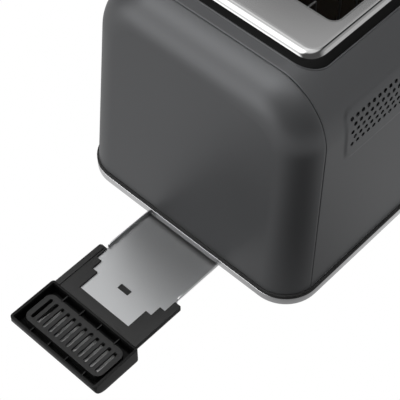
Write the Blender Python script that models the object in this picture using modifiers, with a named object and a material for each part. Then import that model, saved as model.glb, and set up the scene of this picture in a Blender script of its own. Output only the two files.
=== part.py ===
"""Two-slice pop up toaster with its crumb tray drawn out.

Every size below is in millimetres and is turned into metres by MM. The body frame has x = 0 at the
tray end of the body (at the height of the base ring), y = 0 on the middle plane and z = 0 on the
table. The empty called toaster carries that frame, so that the whole object is centred on the
world origin with the tray at rest.
"""

import math

import bmesh
import bpy
from mathutils import Euler, Matrix, Vector

MM = 0.001
GAP = 0.3

# Body
LENGTH = 310.0
HALF_WIDTH = 95.0
RING_TOP = 29.0
CROWN = 165.0
SHOULDER_R = 42.0
END_R = 25.0
SIDE_DRAFT = math.radians(2.44)
END_DRAFT = math.radians(3.65)
SEAM = 21.6
SHEET = 1.2
CAP_WALL = 2.2

# Top
TOP_END = 42.0
TOP_HALF = 64.7
TOP_CORNER_R = 16.0
PLATE_END = 46.5
PLATE_HALF = 61.0
PLATE_CORNER_R = 12.0
PLATE_RISE = 1.2
PLATE_EDGE_R = 2.2
CHANNEL_DEPTH = 8.0
SLOT_END = 82.3
SLOT_OUTER = 48.5
SLOT_INNER = 11.5
SLOT_CORNER_R = 6.0

# Side vents
VENT_END = 53.2
VENT_TOP = 134.9
VENT_PITCH = 5.2
VENT_ROWS = 5
VENT_HOLE = 2.6

# Base
RING_LIP = 1.5
RING_THICK = 3.0
SKIRT_LOW = 19.0
PAN_LOW = 9.0
PAN_INSET = 15.0
PAN_WALL = 2.2
FOOT_R = 11.0
FOOT_X = 32.0
FOOT_Y = 62.0

# Crumb tray, drawn out
TRAY_HALF = 32.7
TRAY_FRONT = -80.0
TRAY_REAR = 138.0
TRAY_SHEET = 0.8
TRAY_TOP = 14.6
TRAY_WALL_TOP = 18.2
WINDOW_FRONT = -58.0
WINDOW_REAR = -53.6
WINDOW_HALF = 4.8
FRAME_HALF = 37.6
FRAME_REAR = -40.0
FRAME_TOP = 16.0
RAIL_TOP = 16.8
HANDLE_BACK = -82.5
HANDLE_FRONT = -122.6
HANDLE_HALF = 40.0
HANDLE_TOP = 15.6
HANDLE_LOW = 3.1
HANDLE_NOSE_R = 10.0
HANDLE_RIBS = 4
RIB_PITCH = 16.2
RIB_THICK = 1.0
GRILLE_FRONT = -115.3
GRILLE_REAR = -89.5
GRILLE_HALF = 35.2
GRILLE_TOP = 12.9
GRILLE_WALL = 1.9
GRILLE_CORNER_R = 5.5
GRILLE_SLOTS = 12
GRILLE_PITCH = 5.48
GRILLE_SLOT = 2.7
GRILLE_SLOT_FRONT = -111.9
GRILLE_SLOT_REAR = -93.2

# Heating chamber
CHAMBER_START = 62.0
CHAMBER_END = 248.0
CHAMBER_HALF = 66.0
CHAMBER_LOW = 30.0
CHAMBER_TOP = 178.0
BOARD_LOW = 48.0
BOARD_TOP = 172.0
BOARD_OUTER = 55.0
GUARD_OUTER = 46.4
GUARD_INNER = 13.6
GUARD_LOW = 46.0
GUARD_TOP = 174.0
GUARD_WIRES = 9
WIRE_R = 0.9

# Carriage
RACK_TOP = 122.0
RACK_Y = 30.0
CARRIAGE_X = 262.0
ARM_Z = 152.0
CARRIAGE_TRAVEL = 70.0
ROD_X = 270.0
ROD_Y = 17.0
ROD_R = 3.0
ARMATURE_Z = 116.0
KNOB_START = 309.5
KNOB_END = 329.0

# Controls, on the lever-end face
DIAL_Z = 54.0
DIAL_R = 18.0
BUTTON_Y = 48.0
BUTTON_ZS = (54.0, 74.0, 94.0)
BUTTON_R = 6.5
BOARD_X = 288.0
GLAND_X = 272.0
GLAND_Z = 16.0
SCREW_X = 60.0
SCREW_Y = 72.0

CENTRE_X = (HANDLE_FRONT + KNOB_END) / 2

MATERIALS = {
    "painted_shell": ((0.105, 0.108, 0.112), 0.38, 0.35),
    "black_plastic": ((0.02, 0.02, 0.021), 0.45, 0.0),
    "polished_steel": ((0.72, 0.72, 0.72), 0.15, 1.0),
    "skirt_chrome": ((0.78, 0.78, 0.79), 0.12, 1.0),
    "tray_steel": ((0.55, 0.56, 0.57), 0.35, 1.0),
    "chassis_steel": ((0.45, 0.46, 0.47), 0.5, 1.0),
    "wire_steel": ((0.6, 0.6, 0.6), 0.3, 1.0),
    "mica": ((0.52, 0.45, 0.33), 0.6, 0.0),
    "element_wire": ((0.35, 0.3, 0.27), 0.5, 1.0),
    "rubber": ((0.03, 0.03, 0.03), 0.8, 0.0),
    "circuit_board": ((0.05, 0.2, 0.08), 0.6, 0.0),
    "magnet_coil": ((0.45, 0.2, 0.08), 0.45, 0.4),
}


def clear_scene():
    for old in list(bpy.data.objects):
        bpy.data.objects.remove(old, do_unlink=True)


def new_collection(name):
    collection = bpy.data.collections.new(name)
    bpy.context.scene.collection.children.link(collection)
    return collection


def material(name):
    found = bpy.data.materials.get(name)
    if found:
        return found
    colour, roughness, metallic = MATERIALS[name]
    made = bpy.data.materials.new(name)
    made.use_nodes = True
    shader = made.node_tree.nodes["Principled BSDF"]
    shader.inputs["Base Color"].default_value = (*colour, 1.0)
    shader.inputs["Roughness"].default_value = roughness
    shader.inputs["Metallic"].default_value = metallic
    return made


def in_metres(point):
    return Vector(point) * MM


def pivot(name, location, parent=None):
    """An empty on a joint's axis, or the body frame itself."""
    empty = bpy.data.objects.new(name, None)
    empty.empty_display_size = 0.02
    empty.location = in_metres(location)
    empty.parent = parent
    parts.objects.link(empty)
    return empty


def add_object(name, mesh, finish, carrier=None, location=(0, 0, 0), rotation=(0, 0, 0)):
    """An object in the body frame, carried by a pivot or by the body itself."""
    obj = bpy.data.objects.new(name, mesh)
    obj.location = in_metres(location)
    obj.rotation_euler = rotation
    obj.parent = carrier or body
    if carrier:
        obj.matrix_parent_inverse = Matrix.Translation(carrier.location).inverted()
    if finish:
        mesh.materials.append(material(finish))
        parts.objects.link(obj)
    else:
        obj.hide_render = True
        obj.display_type = "WIRE"
        cutters.objects.link(obj)
    return obj


def mesh_of(bm, name):
    mesh = bpy.data.meshes.new(name)
    bm.normal_update()
    bm.to_mesh(mesh)
    bm.free()
    return mesh


def box(name, low, high, finish=None, carrier=None):
    """A box between two corners."""
    low, high = Vector(low), Vector(high)
    bm = bmesh.new()
    bmesh.ops.create_cube(bm, size=1.0)
    bmesh.ops.scale(bm, vec=(high - low) * MM, verts=bm.verts)
    return add_object(name, mesh_of(bm, name), finish, carrier, (low + high) / 2)


def cylinder(name, radius, low, high, finish=None, carrier=None, sides=24, tilt=0.0):
    """A cylinder between two points on a line along X, Y or Z, then leant back about Y by tilt."""
    low, high = Vector(low), Vector(high)
    along = high - low
    bm = bmesh.new()
    bmesh.ops.create_cone(
        bm,
        cap_ends=True,
        segments=sides,
        radius1=radius * MM,
        radius2=radius * MM,
        depth=along.length * MM,
    )
    upright = along.to_track_quat("Z", "Y").to_matrix()
    rotation = (Matrix.Rotation(-tilt, 3, "Y") @ upright).to_euler()
    obj = add_object(name, mesh_of(bm, name), finish, carrier, (low + high) / 2, rotation)
    obj.data.shade_smooth()
    obj.data.set_sharp_from_angle(angle=math.radians(40))
    return obj


def mesh_from_curve(curve, name):
    """The curve's evaluated mesh, with its loose caps welded on."""
    helper = bpy.data.objects.new(name, curve)
    parts.objects.link(helper)
    bpy.context.view_layer.update()
    graph = bpy.context.evaluated_depsgraph_get()
    mesh = bpy.data.meshes.new_from_object(helper.evaluated_get(graph))
    bpy.data.objects.remove(helper)
    bpy.data.curves.remove(curve)
    bm = bmesh.new()
    bm.from_mesh(mesh)
    bmesh.ops.remove_doubles(bm, verts=bm.verts, dist=1e-6)
    bmesh.ops.recalc_face_normals(bm, faces=bm.faces)
    bm.to_mesh(mesh)
    bm.free()
    return mesh


def add_outline(curve, points):
    spline = curve.splines.new("POLY")
    spline.points.add(len(points) - 1)
    for held, (x, y) in zip(spline.points, points):
        held.co = (x * MM, y * MM, 0.0, 1.0)
    spline.use_cyclic_u = True


FACING_X = (math.pi / 2, 0.0, math.pi / 2)
FACING_Y = (math.pi / 2, 0.0, 0.0)


def plate(name, outlines, low, high, finish=None, carrier=None, facing=None):
    """A flat sheet with holes. The first outline is its edge and the others are its holes.

    It lies between two heights, or between two places along X or Y when it faces that way:
    an outline is then in (y, z) or in (x, z).
    """
    curve = bpy.data.curves.new(name, "CURVE")
    curve.dimensions = "2D"
    curve.fill_mode = "BOTH"
    curve.extrude = (high - low) / 2 * MM
    for outline in outlines:
        add_outline(curve, outline)
    mesh = mesh_from_curve(curve, name)
    middle = (low + high) / 2
    if facing == FACING_X:
        return add_object(name, mesh, finish, carrier, (middle, 0, 0), FACING_X)
    if facing == FACING_Y:
        return add_object(name, mesh, finish, carrier, (0, middle, 0), FACING_Y)
    return add_object(name, mesh, finish, carrier, (0, 0, middle))


def wire(name, points, radius, finish, carrier=None, roundness=0):
    """A bent wire through points, with filled ends."""
    curve = bpy.data.curves.new(name, "CURVE")
    curve.dimensions = "3D"
    curve.bevel_depth = radius * MM
    curve.bevel_resolution = roundness
    curve.use_fill_caps = True
    spline = curve.splines.new("POLY")
    spline.points.add(len(points) - 1)
    for held, point in zip(spline.points, points):
        held.co = (*in_metres(point), 1.0)
    return add_object(name, mesh_from_curve(curve, name), finish, carrier)


def arc(centre, radius, start, end, steps):
    """Points on an arc between two angles in degrees, both ends included."""
    turns = [math.radians(start + (end - start) * k / steps) for k in range(steps + 1)]
    return [(centre[0] + radius * math.cos(a), centre[1] + radius * math.sin(a)) for a in turns]


def rounded_box(low, high, radius, steps=5):
    """The outline of a rectangle with round corners."""
    (x0, y0), (x1, y1) = low, high
    return (
        arc((x1 - radius, y1 - radius), radius, 0, 90, steps)
        + arc((x0 + radius, y1 - radius), radius, 90, 180, steps)
        + arc((x0 + radius, y0 + radius), radius, 180, 270, steps)
        + arc((x1 - radius, y0 + radius), radius, 270, 360, steps)
    )


def inset_box(inset, half_width_inset, radius, steps=5):
    """A round-cornered outline inside the body's plan, inset from its ends and its sides."""
    half = HALF_WIDTH - half_width_inset
    return rounded_box((inset, -half), (LENGTH - inset, half), radius, steps)


def combine(obj, other, operation):
    modifier = obj.modifiers.new(operation.lower() + "_" + other.name, "BOOLEAN")
    modifier.operation = operation
    modifier.object = other
    return obj


def cut(obj, *others):
    for other in others:
        combine(obj, other, "DIFFERENCE")
    return obj


def join(obj, *others):
    for other in others:
        combine(obj, other, "UNION")
    return obj


def bevel(obj, width, segments=2, angle=50):
    modifier = obj.modifiers.new("rounded_edges", "BEVEL")
    modifier.width = width * MM
    modifier.segments = segments
    modifier.limit_method = "ANGLE"
    modifier.angle_limit = math.radians(angle)
    return obj


def solidify(obj, thickness):
    modifier = obj.modifiers.new("sheet", "SOLIDIFY")
    modifier.thickness = thickness * MM
    modifier.offset = -1.0
    modifier.use_even_offset = True
    return obj


# Body shell


def body_outline(inset):
    """(y, height over the ring) from the -Y foot of the body, over its top, to the +Y foot."""
    slope = math.tan(SIDE_DRAFT)
    centre_z = CROWN - SHOULDER_R
    centre_y = HALF_WIDTH - centre_z * slope - SHOULDER_R / math.cos(SIDE_DRAFT)
    foot = HALF_WIDTH - inset / math.cos(SIDE_DRAFT)
    radius = SHOULDER_R - inset
    corner = arc((centre_y, centre_z), radius, math.degrees(SIDE_DRAFT), 90, 10)
    right = [(foot, 0.0)] + corner
    return [(-y, z) for y, z in right] + right[::-1]


def body_station(depth, inset):
    """The body's section at a depth behind its leaning tray-end face."""
    lean = math.tan(END_DRAFT)
    return [(depth + z * lean, y, z + RING_TOP) for y, z in body_outline(inset)]


def end_stations(steps=8):
    """(depth, inset) pairs round the end's soft edge, from its flat face to the seam."""
    seam_turn = math.asin(1.0 - SEAM / END_R)
    turns = [math.pi / 2 + (seam_turn - math.pi / 2) * k / steps for k in range(steps + 1)]
    return [(END_R * (1 - math.sin(a)), END_R * (1 - math.cos(a))) for a in turns]


def mirrored(points):
    return [(LENGTH - x, y, z) for x, y, z in points]


def loft(name, rows, finish, capped, flipped):
    """Open skin through rows of points, with a flat face over the first row if it is capped."""
    bm = bmesh.new()
    held = [[bm.verts.new(in_metres(point)) for point in row] for row in rows]
    for first, second in zip(held, held[1:]):
        for k in range(len(first) - 1):
            corners = [first[k], second[k], second[k + 1], first[k + 1]]
            bm.faces.new(corners[::-1] if flipped else corners)
    if capped:
        bm.faces.new(held[0][::-1] if flipped else held[0])
    obj = add_object(name, mesh_of(bm, name), finish)
    obj.data.shade_smooth()
    obj.data.set_sharp_from_angle(angle=math.radians(30))
    return obj


def make_wrap_shell():
    start = SEAM + GAP
    near = [body_station(start, 0.2), body_station(END_R, 0.0)]
    far = [mirrored(row) for row in reversed(near)]
    shell = solidify(loft("wrap_shell", near + far, "painted_shell", False, False), SHEET)
    outline = rounded_box(
        (TOP_END, -TOP_HALF), (LENGTH - TOP_END, TOP_HALF), TOP_CORNER_R
    )
    opening = plate("cut_top_opening", [outline], RING_TOP + 140, RING_TOP + CROWN + 5)
    cut(shell, opening)
    for row in range(VENT_ROWS):
        z = RING_TOP + VENT_TOP - row * VENT_PITCH
        inset = VENT_END + (row % 2) * VENT_PITCH / 2
        low = (inset, -HALF_WIDTH - 5, z - VENT_HOLE / 2)
        high = (LENGTH - inset, HALF_WIDTH + 5, z + VENT_HOLE / 2)
        cut(shell, box(f"cut_vent_row_{row + 1}", low, high))


def make_tray_end_cap():
    rows = [body_station(depth, inset) for depth, inset in end_stations()]
    solidify(loft("tray_end_cap", rows, "painted_shell", True, False), CAP_WALL)


def make_lever_end_cap():
    rows = [mirrored(body_station(depth, inset)) for depth, inset in end_stations()]
    cap = solidify(loft("lever_end_cap", rows, "painted_shell", True, True), CAP_WALL)
    low = ARM_Z - CARRIAGE_TRAVEL - 5
    cut(cap, box("cut_lever_slot", (LENGTH - 40, -3.6, low), (LENGTH + 5, 3.6, ARM_Z + 5)))
    cut(cap, through_face("cut_dial_hole", 0.0, DIAL_Z, 6.5))
    for number, z in enumerate(BUTTON_ZS):
        cut(cap, through_face(f"cut_button_hole_{number + 1}", BUTTON_Y, z, BUTTON_R + 0.6))


def face_x(z):
    """Where the lever-end face stands at a height."""
    return LENGTH - (z - RING_TOP) * math.tan(END_DRAFT)


def on_face(y, z, out):
    """The point a distance out from the lever-end face, square to it."""
    return (
        face_x(z) + out * math.cos(END_DRAFT),
        y,
        z + out * math.sin(END_DRAFT),
    )


def face_cylinder(name, y, z, radius, inner, outer, finish=None, carrier=None, sides=24):
    """A cylinder square to the lever-end face, between two distances out from it."""
    middle = Vector(on_face(y, z, (inner + outer) / 2))
    half = Vector(((outer - inner) / 2, 0, 0))
    return cylinder(
        name, radius, middle - half, middle + half, finish, carrier, sides, END_DRAFT
    )


def through_face(name, y, z, radius):
    return face_cylinder(name, y, z, radius, -20, 10)


# Top


def make_top_bezel():
    z = RING_TOP + CROWN - CHANNEL_DEPTH
    outer = rounded_box(
        (TOP_END - 1.6, -TOP_HALF - 1.7), (LENGTH - TOP_END + 1.6, TOP_HALF + 1.7), 17.5
    )
    hole = rounded_box((PLATE_END + 3, -PLATE_HALF + 3), (LENGTH - PLATE_END - 3, PLATE_HALF - 3), 9)
    plate("top_bezel", [outer, hole], z - 1.6, z, "black_plastic")


def bread_slots():
    """The plan outlines of the two bread slots."""
    return {
        side: rounded_box(
            (SLOT_END, min(sign * SLOT_INNER, sign * SLOT_OUTER)),
            (LENGTH - SLOT_END, max(sign * SLOT_INNER, sign * SLOT_OUTER)),
            SLOT_CORNER_R,
        )
        for side, sign in (("left", 1), ("right", -1))
    }


def make_top_plate():
    low = RING_TOP + CROWN - CHANNEL_DEPTH + GAP
    high = RING_TOP + CROWN + PLATE_RISE
    outline = rounded_box(
        (PLATE_END, -PLATE_HALF), (LENGTH - PLATE_END, PLATE_HALF), PLATE_CORNER_R
    )
    top = bevel(plate("top_plate", [outline], low, high, "polished_steel"), PLATE_EDGE_R, 3)
    inner = rounded_box(
        (PLATE_END + 1, 1 - PLATE_HALF), (LENGTH - PLATE_END - 1, PLATE_HALF - 1), 11
    )
    cut(top, plate("cut_plate_hollow", [inner], low - 5, high - 1.0))
    for side, slot in bread_slots().items():
        cut(top, plate(f"cut_slot_{side}", [slot], low - 5, high + 5))


def make_slot_liners():
    high = RING_TOP + CROWN + PLATE_RISE - 1.0 - GAP
    for sign, side in ((1, "left"), (-1, "right")):
        ys = sorted((sign * SLOT_INNER, sign * SLOT_OUTER))
        outer = rounded_box((SLOT_END - 1.2, ys[0] - 1.2), (LENGTH - SLOT_END + 1.2, ys[1] + 1.2), 7)
        inner = rounded_box((SLOT_END - 0.2, ys[0] - 0.2), (LENGTH - SLOT_END + 0.2, ys[1] + 0.2), 6)
        plate(f"slot_liner_{side}", [outer, inner], CHAMBER_TOP + 1, high, "black_plastic")


# Base


def make_base_ring():
    outer = inset_box(-RING_LIP, -RING_LIP, END_R + RING_LIP, 8)
    hole = inset_box(12, 12, 14)
    z = RING_TOP - GAP
    plate("base_ring", [outer, hole], z - RING_THICK, z, "black_plastic")


def make_skirt():
    lip = RING_LIP - 0.2
    outer = inset_box(-lip, -lip, END_R + lip, 8)
    hole = inset_box(2 - lip, 2 - lip, END_R - 2 + lip, 8)
    high = RING_TOP - 2 * GAP - RING_THICK
    plate("skirt_band", [outer, hole], SKIRT_LOW, high, "skirt_chrome")


def pan_outline(wall):
    """The base pan's plan, with the bay that the tray handle slides into."""
    near, far = PAN_INSET + wall, LENGTH - PAN_INSET - wall
    half = HALF_WIDTH - PAN_INSET - wall
    bay_x, bay_y = 45.0 + wall, 43.5 + wall
    return [
        (near, -half), (far, -half), (far, half), (near, half),
        (near, bay_y), (bay_x, bay_y), (bay_x, -bay_y), (near, -bay_y),
    ]  # fmt: skip


def make_base_pan():
    high = RING_TOP - 2 * GAP - RING_THICK
    pan = plate("base_pan", [pan_outline(0.0)], PAN_LOW, high, "black_plastic")
    cut(pan, plate("cut_pan_inside", [pan_outline(PAN_WALL)], PAN_LOW + 2, high + 5))
    bay_back = 45.0
    cut(pan, box("cut_tray_mouth", (bay_back - 3, -38.6, PAN_LOW + 2.3), (bay_back + 5, 38.6, 19)))
    flange = [inset_box(1.8, 1.8, END_R - 2), inset_box(17, 17, 6)]
    join(pan, plate("join_pan_flange", flange, high - 2.5, high))
    join(pan, box("join_bay_roof", (PAN_INSET - 2, -46, 19.4), (bay_back + PAN_WALL, 46, 21.4)))
    for number in range(5):
        x = 110.0 + 20.0 * number
        for side, y in (("left", 44), ("right", -68)):
            low, high = (x, y, PAN_LOW - 3), (x + 6, y + 24, PAN_LOW + 5)
            cut(pan, box(f"cut_air_slot_{side}_{number + 1}", low, high))
    for end, x in (("tray", SCREW_X), ("lever", LENGTH - SCREW_X)):
        for side, y in (("left", SCREW_Y), ("right", -SCREW_Y)):
            hole = cylinder(f"cut_screw_{end}_{side}", 2.0, (x, y, 5), (x, y, 15), sides=12)
            cut(pan, hole)
    half = HALF_WIDTH - PAN_INSET
    low, high = (GLAND_X, half - 8, GLAND_Z), (GLAND_X, half + 8, GLAND_Z)
    cut(pan, cylinder("cut_gland_hole", 5.6, low, high, sides=20))


def make_feet():
    for end, x in (("tray", FOOT_X), ("lever", LENGTH - FOOT_X)):
        for side, y in (("left", FOOT_Y), ("right", -FOOT_Y)):
            top = PAN_LOW - GAP
            foot = cylinder(f"foot_{end}_{side}", FOOT_R, (x, y, 0), (x, y, top), "rubber")
            bevel(foot, 1.2)


def make_tray_guides():
    for sign, side in ((1, "left"), (-1, "right")):
        profile = [
            (sign * y, z)
            for y, z in (
                (TRAY_HALF + 0.5, PAN_LOW + 2.3), (TRAY_HALF + 3, PAN_LOW + 2.3),
                (TRAY_HALF + 3, 20.6), (TRAY_HALF - 2, 20.6),
                (TRAY_HALF - 2, 19.2), (TRAY_HALF + 0.5, 19.2),
            )
        ]  # fmt: skip
        plate(f"tray_guide_{side}", [profile], 90, 262, "chassis_steel", facing=FACING_X)


# Crumb tray and its handle


def make_crumb_tray():
    floor_low = TRAY_TOP - TRAY_SHEET
    window = [
        (WINDOW_FRONT, -WINDOW_HALF), (WINDOW_REAR, -WINDOW_HALF),
        (WINDOW_REAR, WINDOW_HALF), (WINDOW_FRONT, WINDOW_HALF),
    ]  # fmt: skip
    edge = [
        (TRAY_FRONT, -TRAY_HALF), (TRAY_REAR, -TRAY_HALF),
        (TRAY_REAR, TRAY_HALF), (TRAY_FRONT, TRAY_HALF),
    ]  # fmt: skip
    tray = plate("crumb_tray", [edge, window], floor_low, TRAY_TOP, "tray_steel", tray_slide)
    start = FRAME_REAR + 1
    inner = TRAY_HALF - TRAY_SHEET
    walls = [
        (start, -TRAY_HALF), (TRAY_REAR, -TRAY_HALF), (TRAY_REAR, TRAY_HALF), (start, TRAY_HALF),
        (start, inner), (TRAY_REAR - TRAY_SHEET, inner),
        (TRAY_REAR - TRAY_SHEET, -inner), (start, -inner),
    ]  # fmt: skip
    join(tray, plate("join_tray_walls", [walls], floor_low, TRAY_WALL_TOP, carrier=tray_slide))


def stepped_arms():
    """The frame's outline: a plate with two arms whose inner edges step outwards."""
    steps = [
        (-75.0, 22.7), (-58.6, 22.7), (-58.6, 27.5), (-50.2, 27.5), (-50.2, 31.9),
        (FRAME_REAR - 0.5, 31.9), (FRAME_REAR - 0.5, FRAME_HALF - 1.2),
        (HANDLE_BACK - 0.7, FRAME_HALF - 1.2),
    ]  # fmt: skip
    return steps + [(x, -y) for x, y in reversed(steps)]


def handle_profile(wall, high):
    """The handle's side view, (x, z), with its round lower nose."""
    radius = HANDLE_NOSE_R - wall
    nose = (HANDLE_FRONT + wall + radius, HANDLE_LOW + wall + radius)
    return [
        (HANDLE_BACK - wall, high),
        (HANDLE_FRONT + wall, high),
        *arc(nose, radius, 180, 270, 5),
        (HANDLE_BACK - wall, HANDLE_LOW + wall),
    ]


def make_tray_handle():
    half = HANDLE_HALF
    carried = {"carrier": tray_slide}
    handle = plate(
        "tray_handle", [handle_profile(0, HANDLE_TOP)], -half, half,
        "black_plastic", facing=FACING_Y, **carried,
    )  # fmt: skip
    cut(handle, plate(
        "cut_handle_bowl", [handle_profile(2, HANDLE_TOP + 5)], 2 - half, half - 2,
        facing=FACING_Y, **carried,
    ))  # fmt: skip
    low, high = (GRILLE_FRONT, -GRILLE_HALF), (GRILLE_REAR, GRILLE_HALF)
    grille = rounded_box(low, high, GRILLE_CORNER_R)
    join(handle, plate("join_grille", [grille], HANDLE_LOW + 1, GRILLE_TOP, **carried))
    low = (GRILLE_FRONT + GRILLE_WALL, GRILLE_WALL - GRILLE_HALF)
    high = (GRILLE_REAR - GRILLE_WALL, GRILLE_HALF - GRILLE_WALL)
    pocket = rounded_box(low, high, GRILLE_CORNER_R - GRILLE_WALL)
    pocket_top = GRILLE_TOP - GRILLE_WALL
    cut(handle, plate("cut_grille_pocket", [pocket], HANDLE_LOW - 3, pocket_top, **carried))
    for number in range(GRILLE_SLOTS):
        y = (number - (GRILLE_SLOTS - 1) / 2) * GRILLE_PITCH
        low = (GRILLE_SLOT_FRONT, y - GRILLE_SLOT / 2, 0.0)
        high = (GRILLE_SLOT_REAR, y + GRILLE_SLOT / 2, GRILLE_TOP + 4)
        cut(handle, box(f"cut_grille_slot_{number + 1}", low, high, **carried))
    for number in range(HANDLE_RIBS):
        y = (number - (HANDLE_RIBS - 1) / 2) * RIB_PITCH
        rib = box(
            f"join_rib_{number + 1}", (GRILLE_REAR - 0.1, y - RIB_THICK / 2, HANDLE_LOW + 1),
            (HANDLE_BACK - 1, y + RIB_THICK / 2, HANDLE_TOP - 3), **carried,
        )  # fmt: skip
        join(handle, rib)
    frame = plate("join_frame", [stepped_arms()], TRAY_TOP + GAP, FRAME_TOP, **carried)
    join(handle, frame)
    for sign in (1, -1):
        ys = sorted((sign * (TRAY_HALF + 0.7), sign * FRAME_HALF))
        low, high = (HANDLE_BACK - 1, ys[0], 12.0), (FRAME_REAR, ys[1], RAIL_TOP)
        join(handle, box(f"join_rail_{'left' if sign > 0 else 'right'}", low, high, **carried))


# Heating chamber


def make_chassis():
    low, high, half = CHAMBER_LOW, CHAMBER_TOP, CHAMBER_HALF
    leg, foot = 42.0, PAN_LOW + 2.3
    edge = [
        (-half, foot), (-leg, foot), (-leg, low - 6), (leg, low - 6),
        (leg, foot), (half, foot), (half, high), (-half, high),
    ]  # fmt: skip
    thick = 1.2
    plate(
        "chassis_plate_tray_end", [edge], CHAMBER_START - thick, CHAMBER_START,
        "chassis_steel", facing=FACING_X,
    )  # fmt: skip
    slots = [
        rounded_box((y - 4, RACK_TOP - CARRIAGE_TRAVEL - 10), (y + 4, RACK_TOP + 4), 1, 1)
        for y in (RACK_Y, -RACK_Y)
    ]
    plate(
        "chassis_plate_lever_end", [edge, *slots], CHAMBER_END, CHAMBER_END + thick,
        "chassis_steel", facing=FACING_X,
    )  # fmt: skip
    for sign, side in ((1, "left"), (-1, "right")):
        ys = sorted((sign * (half - 0.8), sign * half))
        box(
            f"side_reflector_{side}", (CHAMBER_START + GAP, ys[0], low + 4),
            (CHAMBER_END - GAP, ys[1], high - 2), "chassis_steel",
        )  # fmt: skip


def make_elements():
    start, end = CHAMBER_START + GAP, CHAMBER_END - GAP
    for name, y, wired in (
        ("left", BOARD_OUTER, -1), ("centre", 0.0, 1), ("right", -BOARD_OUTER, 1),
    ):  # fmt: skip
        low, high = (start, y - 0.5, BOARD_LOW), (end, y + 0.5, BOARD_TOP)
        box(f"element_board_{name}", low, high, "mica")
        winding(f"element_wire_{name}", y + wired * 1.6)


def winding(name, y):
    """A heating wire that runs to and fro along the face of its board."""
    runs = 8
    margin = 8.0
    ends = (CHAMBER_START + 12, CHAMBER_END - 12)
    step = (BOARD_TOP - BOARD_LOW - 2 * margin) / (runs - 1)
    points = []
    for run in range(runs):
        order = ends if run % 2 == 0 else ends[::-1]
        points += [(x, y, BOARD_LOW + margin + run * step) for x in order]
    wire(name, points, 0.6, "element_wire")


def make_guards():
    """Wire guards that hold the bread off the elements, each hinged on its lowest run."""
    start, end = CHAMBER_START + 6, CHAMBER_END - 6
    pitch = (end - start) / (GUARD_WIRES - 1)
    for name, y in (
        ("left_outer", GUARD_OUTER), ("left_inner", GUARD_INNER),
        ("right_inner", -GUARD_INNER), ("right_outer", -GUARD_OUTER),
    ):  # fmt: skip
        hinge = pivot(f"pivot_guard_{name}", (LENGTH / 2, y, GUARD_LOW), body)
        points = [(start - 3.5, y, GUARD_LOW), (end, y, GUARD_LOW), (end, y, GUARD_TOP)]
        for number in range(1, GUARD_WIRES):
            x = end - number * pitch
            heights = (GUARD_LOW + 6, GUARD_TOP) if number % 2 == 0 else (GUARD_TOP, GUARD_LOW + 6)
            points += [(x, y, z) for z in heights]
        wire(f"bread_guard_{name}", points, WIRE_R, "wire_steel", hinge)


# Carriage


def make_racks():
    for sign, side in ((1, "left"), (-1, "right")):
        y = sign * RACK_Y
        low = (CHAMBER_START + 4, y - 2.5, RACK_TOP - 6)
        high = (CARRIAGE_X - 2, y + 2.5, RACK_TOP)
        box(f"bread_rack_{side}", low, high, "chassis_steel", carriage)


def make_lift_bracket():
    """The plate that carries both racks, with the sleeve that runs on the guide rod."""
    low, shoulder, top = RACK_TOP - 12, RACK_TOP + 2, ARM_Z + 6
    half, neck = 36.0, 10.0
    edge = [
        (-half, low), (half, low), (half, shoulder), (neck, shoulder),
        (neck, top), (-neck, top), (-neck, shoulder), (-half, shoulder),
    ]  # fmt: skip
    back = CARRIAGE_X - 1.7
    bracket = plate(
        "lift_bracket", [edge], back, CARRIAGE_X, "chassis_steel", carriage, FACING_X
    )
    low_corner = (CARRIAGE_X - 0.5, ROD_Y - 6, low + 4)
    high_corner = (ROD_X + 6, ROD_Y + 6, RACK_TOP + 1)
    bore_low, bore_high = (ROD_X, ROD_Y, low - 9), (ROD_X, ROD_Y, RACK_TOP + 9)
    join(bracket, box("join_sleeve", low_corner, high_corner, carrier=carriage))
    cut(bracket, cylinder("cut_sleeve_bore", ROD_R + 0.3, bore_low, bore_high, carrier=carriage))
    hook = box(
        "join_spring_hook", (CARRIAGE_X - 0.5, -26, RACK_TOP - 3), (ROD_X + 6, -10, RACK_TOP - 1),
        carrier=carriage,
    )  # fmt: skip
    join(bracket, hook)


def make_lever():
    low = (CARRIAGE_X + GAP, -2.5, ARM_Z - 3)
    high = (KNOB_START - GAP, 2.5, ARM_Z + 3)
    box("lever_arm", low, high, "chassis_steel", carriage)
    low, high = (KNOB_START, -21, ARM_Z - 8), (KNOB_END, 21, ARM_Z + 8)
    bevel(box("lever_knob", low, high, "black_plastic", carriage), 4, 3)


def make_armature():
    low = (CARRIAGE_X + GAP, -30, ARMATURE_Z)
    high = (ROD_X + 8, -14, ARMATURE_Z + 1.6)
    box("magnet_armature", low, high, "chassis_steel", carriage)


def make_guide_rod():
    cylinder(
        "guide_rod", ROD_R, (ROD_X, ROD_Y, PAN_LOW + 2.3), (ROD_X, ROD_Y, 176), "wire_steel",
        sides=16,
    )  # fmt: skip


def make_return_spring():
    """Coil spring from the carriage's hook up to the top of the body: it pulls the carriage up."""
    low, high, turns, steps = RACK_TOP + 1, 176.0, 8, 8
    centre_y = -18.0
    points = []
    for k in range(turns * steps + 1):
        x, y = arc((ROD_X, centre_y), 4, 360 * k / steps, 0, 1)[0]
        points.append((x, y, low + (high - low) * k / (turns * steps)))
    wire("return_spring", points, 0.5, "wire_steel", carriage)


# Mechanism and controls at the lever end


def make_magnet():
    top = ARMATURE_Z - CARRIAGE_TRAVEL - 0.5
    low, high = (CARRIAGE_X + 2, -29, top - 15), (ROD_X + 8, -15, top)
    magnet = box("hold_magnet", low, high, "magnet_coil")
    core = box("join_magnet_foot", (low[0], -27, PAN_LOW + 2.3), (high[0], -17, top - 14))
    join(magnet, core)


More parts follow.
